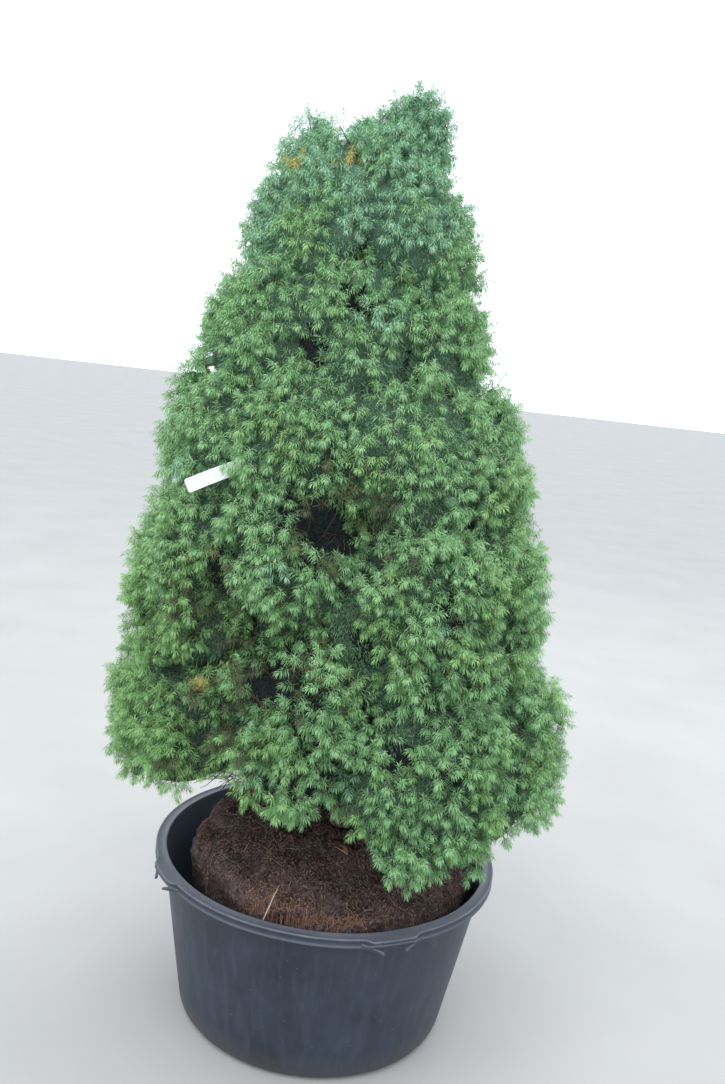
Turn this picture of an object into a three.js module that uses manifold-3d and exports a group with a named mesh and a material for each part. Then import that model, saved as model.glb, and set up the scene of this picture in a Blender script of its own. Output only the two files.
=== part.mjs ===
// A dwarf white spruce in a wide, low nursery pot, built as separate solids: pot, root ball, trunk,
// boughs, masses of foliage and a blank plant label. Millimetres, +Z up, and the origin is the
// middle of the pot's flat underside. Azimuths are degrees in plan, 0 along +X and 90 along +Y.
import * as THREE from "three";
import { mergeVertices } from "three/addons/utils/BufferGeometryUtils.js";
import Module from "manifold-3d";

const wasm = await Module();
wasm.setup();

// Pot
const POT_RIM_RADIUS = 275;
const POT_HEIGHT = 269;
const POT_FOOT_RADIUS = 216;
const POT_WALL = 4.5;
const POT_FLANGE = 17;
const POT_SKIRT = 14;
const POT_CORNER = 22;
const POT_SIDES = 34;
const HANDLE_AZIMUTHS = [-153, -63, 27, 117];
const HANDLE_HALF_ANGLE = 9;
const HANDLE_PROUD = 8;
const LUG_DROP = 7;

// Root ball, which stands a little off the pot's middle and leaves a gap on one side
const BALL_MIDDLE = [9, -7];
const BALL_TOP_RADIUS = 226;
const BALL_FOOT_RADIUS = 176;
const BALL_TOP = 308;
const BALL_SHOULDER = 276;
const BALL_PLATEAU = 88;
const BALL_SIDES = 22;

// Trunk: points it runs through, and its radius at the ground, above the flare and at the tip
const TRUNK_ROUTE = [
  [30, 20, 290],
  [14, 12, 560],
  [-12, 4, 820],
  [-28, 0, 1050],
  [-12, 2, 1240],
  [12, 4, 1374],
];
const TRUNK_RADIUS = 23;
const TRUNK_FLARE = 13;
const TRUNK_TIP_RADIUS = 3.4;
const BOUGH_STAGGER = 26;
const STEM_LAP = 6;
const TRUNK_SIDES = 7;
const TRUNK_RINGS = 10;

// Crown outline: height, middle in X, and half width as seen from the front
const OUTLINE = [
  [300, -4, 335],
  [400, -4, 366],
  [500, -6, 362],
  [600, -6, 352],
  [700, -26, 334],
  [800, -33, 314],
  [900, -34, 290],
  [1000, -52, 252],
  [1100, -56, 221],
  [1200, -50, 191],
  [1300, -47, 152],
  [1380, -43, 112],
];

// Tiers of foliage. Each mass is [azimuth, rise above the tier's height, width] and, where it
// isn't its tier's, how tall it is.
const TIERS = [
  {
    name: "foot",
    height: 458,
    tall: 326,
    depth: 210,
    tilt: -6,
    drop: 58,
    onBough: true,
    masses: [
      [-147, 42, 292, 244],
      [-103, 104, 220, 292],
      [-62, 6, 270],
      [-19, 18, 275],
      [29, -10, 285],
      [77, -14, 285],
      [124, -14, 285],
      [170, 2, 270],
    ],
  },
  {
    name: "low",
    height: 708,
    tall: 302,
    depth: 200,
    tilt: 6,
    drop: 100,
    onBough: true,
    masses: [
      [-146, 22, 268],
      [-104, 78, 192],
      [-63, 6, 262],
      [-17, 10, 275],
      [37, 0, 285],
      [93, -4, 290],
      [154, 4, 280],
    ],
  },
  {
    name: "middle",
    height: 912,
    tall: 256,
    depth: 185,
    tilt: 12,
    drop: 96,
    onBough: false,
    masses: [
      [-149, 4, 228],
      [-108, 26, 215],
      [-62, 10, 235],
      [-4, 0, 262],
      [66, 2, 275],
      [146, 2, 265],
    ],
  },
  {
    name: "upper",
    height: 1083,
    tall: 226,
    depth: 166,
    tilt: 18,
    drop: 88,
    onBough: false,
    masses: [
      [-134, 0, 205],
      [-82, 4, 200],
      [-18, 4, 225],
      [66, 2, 235],
      [152, 0, 228],
    ],
  },
  {
    name: "high",
    height: 1238,
    tall: 200,
    depth: 146,
    tilt: 24,
    drop: 78,
    onBough: false,
    masses: [
      [-122, 0, 182],
      [-46, 0, 188],
      [50, 6, 192],
      [150, 6, 188],
    ],
  },
];

// Leaders at the top. Each is [x, y, middle height, half width, half height].
const LEADERS = {
  leader_left: [-122, 4, 1328, 50, 72],
  leader_middle: [-50, -14, 1340, 52, 76],
  leader_right: [20, 6, 1372, 50, 91],
};

// Foliage
const CORE_OUT = 0.77;
const CORE_SIDE = 1.06;
const SPRAY_PROUD = 35;
const SPRAY_TRIES = [1, 0.88, 0.76, 0.64];
const AREA_PER_SPRAY = 6300;
const DOME = 1.75;
const LEADER_DOME = 2.2;
const SPRAY_REACH = 35;
const SPRAY_REACH_BACK = 16;
const SPRAY_WAIST = 13;
const SPRAY_WAIST_BACK = 30;
const SPRAY_TIPS = [3, 2, 2];
const GOLDEN_TURN = 2.399963;
const SEED = 7321;

// Gaps between solids
const CLEAR = 0.3;
const CELL_GAP = 2.4;
const FINE = 0.02;
const LIMB_ROOM = 4;
const CROWN_FLOOR = 312;
const RIM_ROOM = 8;

// Blank label pushed in among the sprays on the left of the front
const LABEL_INNER = [-164, -190, 900];
const LABEL_OUTER = [-229, -231, 869];
const LABEL_WIDTH = 17;
const LABEL_THICK = 0.8;
const LABEL_BOW = 5;

const COLOURS = {
  pot: [0x3d4553, 0.55],
  soil: [0x3c2f2a, 0.95],
  bark: [0x5b4636, 0.9],
  needles: [0x557d4f, 0.8],
  label: [0xf2f4f0, 0.4],
};

const UP = new THREE.Vector3(0, 0, 1);

// A generator of numbers from 0 to 1 that gives the same row for the same seed.
function seeded(seed) {
  let state = seed >>> 0;
  return () => {
    state = (state + 0x6d2b79f5) >>> 0;
    let mixed = Math.imul(state ^ (state >>> 15), state | 1);
    mixed ^= mixed + Math.imul(mixed ^ (mixed >>> 7), mixed | 61);
    return ((mixed ^ (mixed >>> 14)) >>> 0) / 4294967296;
  };
}

function radians(degrees) {
  return (degrees * Math.PI) / 180;
}

function vector(point) {
  return new THREE.Vector3(...point);
}

// The crown's middle and half width at a height, straight between the outline's rows.
function outlineAt(height) {
  const last = OUTLINE.length - 1;
  const above = OUTLINE.findIndex((row) => row[0] >= height);
  const upper = above < 0 ? last : Math.max(1, above);
  const [lowZ, lowX, lowR] = OUTLINE[upper - 1];
  const [highZ, highX, highR] = OUTLINE[upper];
  const share = THREE.MathUtils.clamp((height - lowZ) / (highZ - lowZ), 0, 1);
  return {
    middle: THREE.MathUtils.lerp(lowX, highX, share),
    halfWidth: THREE.MathUtils.lerp(lowR, highR, share),
  };
}

// A closed three.js geometry as a solid that can be joined and cut.
function solidOf(geometry) {
  const bare = geometry.clone();
  bare.deleteAttribute("normal");
  bare.deleteAttribute("uv");
  const merged = mergeVertices(bare, 1e-3);
  return new wasm.Manifold(
    new wasm.Mesh({
      numProp: 3,
      vertProperties: new Float32Array(merged.attributes.position.array),
      triVerts: new Uint32Array(merged.index.array),
    }),
  );
}

function largestBody(solid) {
  return solid.decompose().reduce((a, b) => (b.volume() > a.volume() ? b : a));
}

function triangleSoup(solid) {
  const mesh = solid.getMesh();
  const positions = new Float32Array(mesh.numVert * 3);
  for (let i = 0; i < mesh.numVert; i++) {
    const from = i * mesh.numProp;
    positions.set(mesh.vertProperties.subarray(from, from + 3), i * 3);
  }
  const geometry = new THREE.BufferGeometry();
  geometry.setAttribute("position", new THREE.BufferAttribute(positions, 3));
  geometry.setIndex(new THREE.BufferAttribute(new Uint32Array(mesh.triVerts), 1));
  return geometry.toNonIndexed();
}

// The largest body of a solid, as a three.js geometry. Loose scraps are dropped, also those that
// only come apart once the corners are rounded to 32 bits and joined again.
function geometryOf(solid) {
  const body = largestBody(solid.simplify(FINE));
  const geometry = triangleSoup(largestBody(solidOf(triangleSoup(body))));
  geometry.computeVertexNormals();
  return geometry;
}

function meshOf(name, geometry, finish) {
  const [color, roughness] = COLOURS[finish];
  const material = new THREE.MeshStandardMaterial({ color, roughness, metalness: 0 });
  const mesh = new THREE.Mesh(geometry, material);
  mesh.name = name;
  return mesh;
}

// Moves each vertex of a geometry to the place that a function gives for it.
function reshape(geometry, place) {
  const position = geometry.attributes.position;
  const at = new THREE.Vector3();
  for (let i = 0; i < position.count; i++) {
    at.fromBufferAttribute(position, i);
    const moved = place(at);
    position.setXYZ(i, moved.x, moved.y, moved.z);
  }
  return geometry;
}

// A tapering limb along a curve: a cylinder bent onto it, with flat ends.
function limbGeometry(curve, radiusAt, sides, rings) {
  const frames = curve.computeFrenetFrames(rings, false);
  return reshape(new THREE.CylinderGeometry(1, 1, 1, sides, rings), (v) => {
    const share = THREE.MathUtils.clamp(v.y + 0.5, 0, 1);
    const ring = Math.round(share * rings);
    const angle = Math.atan2(v.z, v.x);
    const spoke = Math.hypot(v.x, v.z) * radiusAt(share, angle);
    return curve
      .getPointAt(share)
      .addScaledVector(frames.normals[ring], -Math.cos(angle) * spoke)
      .addScaledVector(frames.binormals[ring], Math.sin(angle) * spoke);
  });
}

// Pot

function potProfile() {
  const outer = POT_RIM_RADIUS;
  const inner = outer - POT_FLANGE;
  const wallTop = inner + POT_WALL;
  const slope = (wallTop - POT_FOOT_RADIUS) / POT_HEIGHT;
  const points = [[0, 0]];
  for (let i = 0; i <= 2; i++) {
    const a = radians(-90 + i * 40);
    points.push([
      POT_FOOT_RADIUS - POT_CORNER + POT_CORNER * Math.cos(a),
      POT_CORNER + POT_CORNER * Math.sin(a),
    ]);
  }
  points[1][1] = 0;
  points.push([POT_FOOT_RADIUS + slope * (POT_HEIGHT - 5), POT_HEIGHT - 5]);
  points.push([outer - 3, POT_HEIGHT - 5]);
  points.push([outer - 3, POT_HEIGHT - POT_SKIRT]);
  points.push([outer, POT_HEIGHT - POT_SKIRT]);
  points.push([outer, POT_HEIGHT - 3]);
  points.push([outer - 3, POT_HEIGHT]);
  points.push([inner, POT_HEIGHT]);
  points.push([POT_FOOT_RADIUS - POT_WALL, POT_CORNER]);
  points.push([POT_FOOT_RADIUS - POT_CORNER, POT_WALL]);
  points.push([0, POT_WALL]);
  return points.map(([r, z]) => new THREE.Vector2(r, z));
}

// A block that follows the rim: a ring sector between two radii, angles and heights.
function rimSector(innerRadius, outerRadius, from, to, low, high) {
  const shape = new THREE.Shape();
  shape.absarc(0, 0, outerRadius, radians(from), radians(to), false);
  shape.absarc(0, 0, innerRadius, radians(to), radians(from), true);
  shape.closePath();
  const geometry = new THREE.ExtrudeGeometry(shape, {
    depth: high - low,
    bevelEnabled: false,
    curveSegments: 2,
  });
  return geometry.translate(0, 0, low);
}

function buildPot() {
  const lathe = new THREE.LatheGeometry(potProfile(), POT_SIDES).rotateX(Math.PI / 2);
  let pot = solidOf(lathe);
  const outer = POT_RIM_RADIUS;
  const low = POT_HEIGHT - POT_SKIRT;
  for (const azimuth of HANDLE_AZIMUTHS) {
    const from = azimuth - HANDLE_HALF_ANGLE;
    const to = azimuth + HANDLE_HALF_ANGLE;
    const bulge = rimSector(outer - 6, outer + HANDLE_PROUD, from, to, low + 1, POT_HEIGHT - 2);
    const pocket = rimSector(
      outer - 9,
      outer + HANDLE_PROUD - 3,
      from + 2.2,
      to - 2.2,
      low - 2,
      POT_HEIGHT - 5,
    );
    pot = pot.add(solidOf(bulge)).subtract(solidOf(pocket));
    for (const side of [from, to - 1.6]) {
      const lug = rimSector(
        outer - 3,
        outer + HANDLE_PROUD + 1,
        side,
        side + 1.6,
        low - LUG_DROP,
        POT_HEIGHT - 6,
      );
      pot = pot.add(solidOf(lug));
    }
  }
  return meshOf("pot", geometryOf(pot), "pot");
}

// Root ball

function buildSoil() {
  const profile = [
    [0, POT_WALL + CLEAR],
    [BALL_FOOT_RADIUS, POT_WALL + CLEAR],
    [BALL_FOOT_RADIUS + 16, 26],
    [BALL_TOP_RADIUS - 3, 210],
    [BALL_TOP_RADIUS, BALL_SHOULDER - 18],
    [BALL_TOP_RADIUS - 14, BALL_SHOULDER],
    [165, 293],
    [BALL_PLATEAU, BALL_TOP],
    [0, BALL_TOP],
  ].map(([r, z]) => new THREE.Vector2(r, z));
  const lathe = new THREE.LatheGeometry(profile, BALL_SIDES).rotateX(Math.PI / 2);
  const lumpy = reshape(lathe, (v) => {
    const radius = Math.hypot(v.x, v.y);
    if (radius < BALL_PLATEAU + 1 || v.z < 100) return v;
    const angle = Math.atan2(v.y, v.x);
    const wave = Math.sin(angle * 3 + 1.1) + 0.8 * Math.sin(angle * 5 + radius * 0.03);
    const rise = 4 * wave + 10 * Math.cos(angle - radians(140));
    const push = 1 + 0.01 * Math.sin(angle * 4 + 0.6);
    return new THREE.Vector3(v.x * push, v.y * push, v.z + rise);
  });
  return meshOf("root_ball", lumpy.translate(...BALL_MIDDLE, 0), "soil");
}

// Trunk and boughs

const trunkCurve = new THREE.CatmullRomCurve3(TRUNK_ROUTE.map(vector));

function trunkRadius(share, angle) {
  const taper = THREE.MathUtils.lerp(TRUNK_RADIUS, TRUNK_TIP_RADIUS, share ** 0.8);
  const foot = Math.max(0, 1 - share * 11);
  const flare = TRUNK_FLARE * foot * foot * (1 + 0.35 * Math.sin(angle * 3));
  return taper + flare;
}

function trunkSolid(extra) {
  const geometry = limbGeometry(
    trunkCurve,
    (share, angle) => trunkRadius(share, angle) + extra,
    TRUNK_SIDES,
    TRUNK_RINGS,
  );
  return solidOf(geometry).trimByPlane([0, 0, 1], BALL_TOP + CLEAR);
}

// The share of the trunk's length at which it reaches a height.
function trunkShare(height) {
  let low = 0;
  let high = 1;
  for (let i = 0; i < 20; i++) {
    const middle = (low + high) / 2;
    if (trunkCurve.getPointAt(middle).z < height) low = middle;
    else high = middle;
  }
  return low;
}

function trunkAt(height) {
  return trunkCurve.getPointAt(trunkShare(height));
}

function clearOfTrunk(point) {
  const share = trunkShare(point.z);
  const distance = point.distanceTo(trunkCurve.getPointAt(share));
  return distance > trunkRadius(share, 0) + LIMB_ROOM;
}

// Masses of foliage

// Every mass: its middle, its own axes (out, along, up), its half sizes and its dome.
function layOutMasses() {
  const masses = [];
  for (const tier of TIERS) {
    tier.masses.forEach(([azimuth, rise, width, tall = tier.tall], index) => {
      const height = tier.height + rise;
      const { middle, halfWidth } = outlineAt(height);
      const a = radians(azimuth);
      const flat = new THREE.Vector3(Math.cos(a), Math.sin(a), 0);
      const tilt = radians(tier.tilt);
      masses.push({
        name: `foliage_${tier.name}_${index + 1}`,
        bough: tier.onBough ? `bough_${tier.name}_${index + 1}` : null,
        middle: new THREE.Vector3(middle, 0, height).addScaledVector(
          flat,
          halfWidth - tier.depth / 2,
        ),
        out: flat.clone().multiplyScalar(Math.cos(tilt)).addScaledVector(UP, Math.sin(tilt)),
        along: new THREE.Vector3(-Math.sin(a), Math.cos(a), 0),
        half: [tier.depth / 2, width / 2, tall / 2],
        dome: DOME,
        isLeader: false,
        rootDrop: tier.drop + BOUGH_STAGGER * (index % 3),
      });
    });
  }
  for (const [name, [x, y, height, halfWidth, halfHeight]] of Object.entries(LEADERS)) {
    masses.push({
      name: `foliage_${name}`,
      bough: null,
      middle: new THREE.Vector3(x, y, height),
      out: UP.clone(),
      along: new THREE.Vector3(0, 1, 0),
      half: [halfHeight, halfWidth, halfWidth],
      dome: LEADER_DOME,
      isLeader: true,
      rootDrop: halfHeight * 1.6,
    });
  }
  masses.forEach((mass, index) => {
    mass.up = new THREE.Vector3().crossVectors(mass.out, mass.along);
    mass.weight = (mass.half[1] + mass.half[2]) / 2;
    mass.scale = THREE.MathUtils.clamp(mass.weight / 128, 0.7, 1);
    mass.side = mass.isLeader ? 0.86 : CORE_SIDE;
    mass.random = seeded(SEED + index * 101);
  });
  return masses;
}

// A place in a mass, from its own axes.
function placeIn(mass, out, along, up) {
  return mass.middle
    .clone()
    .addScaledVector(mass.out, out)
    .addScaledVector(mass.along, along)
    .addScaledVector(mass.up, up);
}

// The flat walls between a mass and its neighbours: a mass keeps to the near side of each.
function wallsOf(mass, masses) {
  const walls = [];
  for (const other of masses) {
    if (other === mass) continue;
    const way = other.middle.clone().sub(mass.middle);
    const distance = way.length();
    if (distance > 420) continue;
    const share = (distance * distance + mass.weight ** 2 - other.weight ** 2) / (2 * distance);
    const normal = way.divideScalar(distance);
    walls.push({ normal, offset: normal.dot(mass.middle) + share - CELL_GAP / 2 });
  }
  return walls;
}

// A place on a mass's core, from an angle off its axis and a turn round it. The core is wider
// than it is proud, so its flanks press against the neighbours.
function onCore(mass, polar, turn, bump) {
  const [out, along, up] = mass.half;
  const side = Math.sin(polar) * mass.side * bump;
  return [
    Math.cos(polar) * out * CORE_OUT * bump,
    side * Math.cos(turn) * along,
    side * Math.sin(turn) * up,
  ];
}

// Twigs by a seeded rule: they leave the stem one by one, turn by the golden angle round it and
// end a little way out of the core. A twig that would leave the mass's space is drawn in towards
// the stem in steps, and is skipped where the last step doesn't help.
function twigsOf(mass, isClear) {
  const [out, along, up] = mass.half;
  const area = ((Math.PI * 2) / 3) * (out * along + along * up + up * out);
  const count = Math.max(9, Math.round(area / AREA_PER_SPRAY));
  const phase = mass.random() * Math.PI * 2;
  const twigs = [];
  for (let k = 0; k < count; k++) {
    const polar = Math.acos(1 - ((k + 0.5) / count) * (1 - Math.cos(mass.dome)));
    const turn = phase + k * GOLDEN_TURN + (mass.random() - 0.5) * 0.3;
    const proud = SPRAY_PROUD * (0.7 + mass.random() * 0.6);
    const size = 0.86 + mass.random() * 0.28;
    const roll = mass.random() * Math.PI * 2;
    const tips = SPRAY_TIPS[k % SPRAY_TIPS.length];
    for (const draw of SPRAY_TRIES) {
      const angle = polar * draw;
      const root = placeIn(mass, (Math.cos(angle) * 0.3 - 0.2) * out, 0, 0);
      const foot = placeIn(mass, ...onCore(mass, angle, turn, 1));
      const way = foot.clone().sub(root).normalize();
      const twig = { root, tip: foot.addScaledVector(way, proud), size, roll, tips };
      const spray = sprayGeometry(twig, mass.scale);
      if (!cornersOf(spray).every(isClear)) continue;
      twigs.push(spray);
      break;
    }
  }
  return twigs;
}

function cornersOf(geometry) {
  const position = geometry.attributes.position;
  return Array.from({ length: position.count }, (_, i) =>
    new THREE.Vector3().fromBufferAttribute(position, i),
  );
}

// A twig with its spray: a slim spindle from the stem to the tip, whose waist near the tip is
// pulled out into needle tips that point forwards.
function sprayGeometry(twig, scale) {
  const sides = twig.tips * 2;
  const way = twig.tip.clone().sub(twig.root);
  const length = way.length();
  const turn = new THREE.Quaternion().setFromUnitVectors(UP, way.normalize());
  const size = twig.size * scale;
  const spindle = new THREE.SphereGeometry(1, sides, 2).rotateX(Math.PI / 2);
  return reshape(spindle, (v) => {
    const local = new THREE.Vector3();
    if (v.z < -0.5) local.set(0, 0, -length);
    else if (v.z < 0.5) {
      const angle = Math.atan2(v.y, v.x);
      const index = Math.round((angle / (Math.PI * 2)) * sides + sides);
      const isTip = index % 2 === 0;
      const radius = (isTip ? SPRAY_REACH : SPRAY_WAIST) * size;
      const back = (isTip ? SPRAY_REACH_BACK : SPRAY_WAIST_BACK) * size;
      local.set(Math.cos(angle + twig.roll) * radius, Math.sin(angle + twig.roll) * radius, -back);
    }
    return local.applyQuaternion(turn).add(twig.tip);
  });
}

// Limbs: the trunk, each bough and each mass's stem, as curves that taper.
function layOutLimbs(masses) {
  const limbs = [];
  for (const mass of masses) {
    const inner = placeIn(mass, -mass.half[0] * 0.86, 0, -mass.half[2] * 0.12);
    const foot = trunkAt(Math.min(mass.middle.z - mass.rootDrop, 1290));
    if (mass.bough) {
      const bend = foot.clone().lerp(inner, 0.5).add(new THREE.Vector3(0, 0, -14));
      const curve = new THREE.QuadraticBezierCurve3(foot, bend, inner);
      limbs.push({ name: mass.bough, owner: mass, curve, thick: 9.5, thin: 6, sides: 5, rings: 3 });
      const way = curve.getTangentAt(1);
      const stem = new THREE.LineCurve3(
        inner.clone().addScaledVector(way, -STEM_LAP),
        inner.clone().addScaledVector(way, mass.half[0]),
      );
      mass.stem = { owner: mass, curve: stem, thick: 4.4, thin: 3.4, sides: 4, rings: 1 };
    } else {
      const bend = foot.clone().lerp(inner, 0.55).add(new THREE.Vector3(0, 0, -8));
      const curve = new THREE.QuadraticBezierCurve3(foot, bend, placeIn(mass, 0, 0, 0));
      mass.stem = { owner: mass, curve, thick: 7, thin: 4, sides: 4, rings: 2 };
    }
  }
  return limbs;
}

function limbSolid(limb, extra) {
  return solidOf(
    limbGeometry(
      limb.curve,
      (share) => THREE.MathUtils.lerp(limb.thick, limb.thin, share) + extra,
      limb.sides,
      limb.rings,
    ),
  );
}

// The lowest sprays stay above the root ball and the rim, or hang down outside the rim.
function clearOfPot(point) {
  const outside = POT_RIM_RADIUS + HANDLE_PROUD + RIM_ROOM;
  return point.z > CROWN_FLOOR || Math.hypot(point.x, point.y) > outside;
}

// A limb grown by the clearance all round, and past its far end, to cut its neighbours with.
function limbCutter(limb) {
  const start = limb.curve.getPointAt(1);
  const way = limb.curve.getTangentAt(1);
  const tip = new THREE.LineCurve3(start, start.clone().addScaledVector(way, CLEAR));
  const cap = { ...limb, curve: tip, thick: limb.thin, rings: 1 };
  const grown = CLEAR / Math.cos(Math.PI / limb.sides);
  return limbSolid(limb, grown).add(limbSolid(cap, grown));
}

// The shortest way from a point to a limb's middle line.
function distanceToLimb(point, limb) {
  const steps = 8;
  let nearest = Infinity;
  for (let i = 0; i <= steps; i++) {
    nearest = Math.min(nearest, limb.curve.getPointAt(i / steps).distanceTo(point));
  }
  return nearest;
}

// The dense middle of a mass: a lumpy ellipsoid, trimmed by the walls to its neighbours.
function coreSolid(mass, walls) {
  const waves = [mass.random() * 6, mass.random() * 6];
  const core = reshape(new THREE.SphereGeometry(1, 7, 4), (v) => {
    const wave = Math.sin(v.x * 5 + waves[0]) + Math.sin(v.y * 4 + v.z * 3 + waves[1]);
    const polar = Math.acos(THREE.MathUtils.clamp(v.x, -1, 1));
    return placeIn(mass, ...onCore(mass, polar, Math.atan2(v.z, v.y), 1 + 0.04 * wave));
  });
  let solid = solidOf(core);
  for (const { normal, offset } of walls) {
    solid = solid.trimByPlane([-normal.x, -normal.y, -normal.z], -offset);
  }
  return solid.trimByPlane([0, 0, 1], CROWN_FLOOR);
}

function buildLabel() {
  const inner = vector(LABEL_INNER);
  const outer = vector(LABEL_OUTER);
  const along = outer.clone().sub(inner);
  const length = along.length();
  along.normalize();
  const across = new THREE.Vector3(0.2, -0.12, 1).projectOnPlane(along).normalize();
  const face = new THREE.Vector3().crossVectors(along, across);
  const basis = new THREE.Matrix4().makeBasis(along, across, face);
  basis.setPosition(inner.lerp(outer, 0.5));
  // The strip, or the room that it takes when the clearance is added all round.
  const strip = (room) => {
    const size = [length, LABEL_WIDTH, LABEL_THICK].map((side) => side + room * 2);
    return reshape(new THREE.BoxGeometry(...size, 4, 1, 1), (v) => {
      const share = (v.x / length) * 2;
      return new THREE.Vector3(v.x, v.y, v.z - LABEL_BOW * share * share);
    }).applyMatrix4(basis);
  };
  return { mesh: meshOf("label", strip(0), "label"), cutter: solidOf(strip(CLEAR)) };
}

function buildFoliage(group) {
  const masses = layOutMasses();
  const limbs = layOutLimbs(masses);
  const trunkCutter = trunkSolid(CLEAR / Math.cos(Math.PI / TRUNK_SIDES));
  const label = buildLabel();
  group.add(label.mesh);

  for (const limb of limbs) {
    const bough = limbSolid(limb, 0).subtract(trunkCutter);
    group.add(meshOf(limb.name, geometryOf(bough), "bark"));
  }

  const all = [...limbs, ...masses.map((mass) => mass.stem)];
  const cutters = all.map((limb) => [limb, limbCutter(limb)]);
  for (const mass of masses) {
    const walls = wallsOf(mass, masses);
    const inside = (point) => walls.every(({ normal, offset }) => normal.dot(point) <= offset);
    const near = cutters.filter(
      ([limb]) => limb !== mass.stem && limb.curve.getPointAt(1).distanceTo(mass.middle) < 330,
    );
    const isClear = (point) =>
      inside(point) &&
      clearOfPot(point) &&
      clearOfTrunk(point) &&
      near.every(([limb]) => distanceToLimb(point, limb) > limb.thick + LIMB_ROOM);
    let solid = coreSolid(mass, walls).add(limbSolid(mass.stem, 0));
    for (const spray of twigsOf(mass, isClear)) solid = solid.add(solidOf(spray));
    for (const [, cutter] of near) solid = solid.subtract(cutter);
    solid = solid.subtract(trunkCutter).subtract(label.cutter);
    group.add(meshOf(mass.name, geometryOf(solid), "needles"));
  }
}

const plant = new THREE.Group();
plant.add(buildPot());
plant.add(buildSoil());
plant.add(meshOf("trunk", geometryOf(trunkSolid(0)), "bark"));
buildFoliage(plant);

export default plant;
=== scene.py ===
"""A dwarf Alberta spruce, grown as one dense cone in a squat black nursery pot.

The trunk, the boughs and the masses of foliage follow the same seeded rule and the same named
sizes as the part's source, in millimetres. The rule is carried on here to finer twigs, shoots and
single needles. Meshes are turned to metres when they are made.
"""

import logging
import math
from dataclasses import dataclass, field
from enum import IntEnum
from typing import Callable, Iterable, Iterator, Sequence

import bmesh
import bpy
import numpy as np
from mathutils import Matrix, Vector, noise
from mathutils.bvhtree import BVHTree


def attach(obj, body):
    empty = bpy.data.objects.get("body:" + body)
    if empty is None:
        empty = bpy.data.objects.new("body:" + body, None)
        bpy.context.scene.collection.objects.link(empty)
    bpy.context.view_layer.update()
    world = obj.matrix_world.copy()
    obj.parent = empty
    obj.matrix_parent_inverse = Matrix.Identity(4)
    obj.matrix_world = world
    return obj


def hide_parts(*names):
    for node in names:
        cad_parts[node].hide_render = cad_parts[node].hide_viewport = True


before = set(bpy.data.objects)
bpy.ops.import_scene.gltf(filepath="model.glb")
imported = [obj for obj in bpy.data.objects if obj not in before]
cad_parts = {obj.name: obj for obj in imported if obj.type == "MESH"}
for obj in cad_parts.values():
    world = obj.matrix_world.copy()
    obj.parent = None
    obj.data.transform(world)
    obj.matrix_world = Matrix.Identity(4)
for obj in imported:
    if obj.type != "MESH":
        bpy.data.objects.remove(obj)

LOG = logging.getLogger("spruce")
METRE = 0.001
UP = np.array([0.0, 0.0, 1.0])
TURN = 2 * math.pi
GOLDEN_TURN = 2.399963
ROOT = "root"
PHOTO_HEIGHT = 1084


# Numbers, lines and meshes that every piece uses


class Seeded:
    """A generator of numbers from 0 to 1 that gives the same row for the same seed."""

    def __init__(self, seed: int) -> None:
        """Starts the row at a seed."""
        self.state = seed & 0xFFFFFFFF

    def draw(self) -> float:
        """Returns the next number of the row."""
        self.state = (self.state + 0x6D2B79F5) & 0xFFFFFFFF
        mixed = ((self.state ^ (self.state >> 15)) * (self.state | 1)) & 0xFFFFFFFF
        step = ((mixed ^ (mixed >> 7)) * (mixed | 61)) & 0xFFFFFFFF
        mixed ^= (mixed + step) & 0xFFFFFFFF
        return (mixed ^ (mixed >> 14)) / 4294967296


def unit(rows: np.ndarray) -> np.ndarray:
    """Returns the row, or each of the rows, at length 1."""
    return rows / np.maximum(np.linalg.norm(rows, axis=-1, keepdims=True), 1e-9)


def gap(one: np.ndarray, other: np.ndarray) -> float | np.ndarray:
    """Returns the distance between two places, or between each place of a row and another."""
    return np.linalg.norm(one - other, axis=-1)


def ease(value: float | np.ndarray, low: float, high: float) -> float | np.ndarray:
    """Returns 0 below low, 1 above high and a soft step between them."""
    share = np.clip((value - low) / (high - low), 0, 1)
    return share * share * (3 - 2 * share)


def around(angle: float) -> np.ndarray:
    """Returns the level direction at an angle round the upright axis."""
    return np.array([math.cos(angle), math.sin(angle), 0])


def side_axes(ways: np.ndarray) -> tuple[np.ndarray, np.ndarray]:
    """Returns two unit axes square to each way and to each other."""
    helper = np.where(np.abs(ways[..., 2:3]) < 0.9, UP, np.array([1.0, 0.0, 0.0]))
    first = unit(np.cross(ways, helper))
    return first, np.cross(ways, first)


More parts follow.
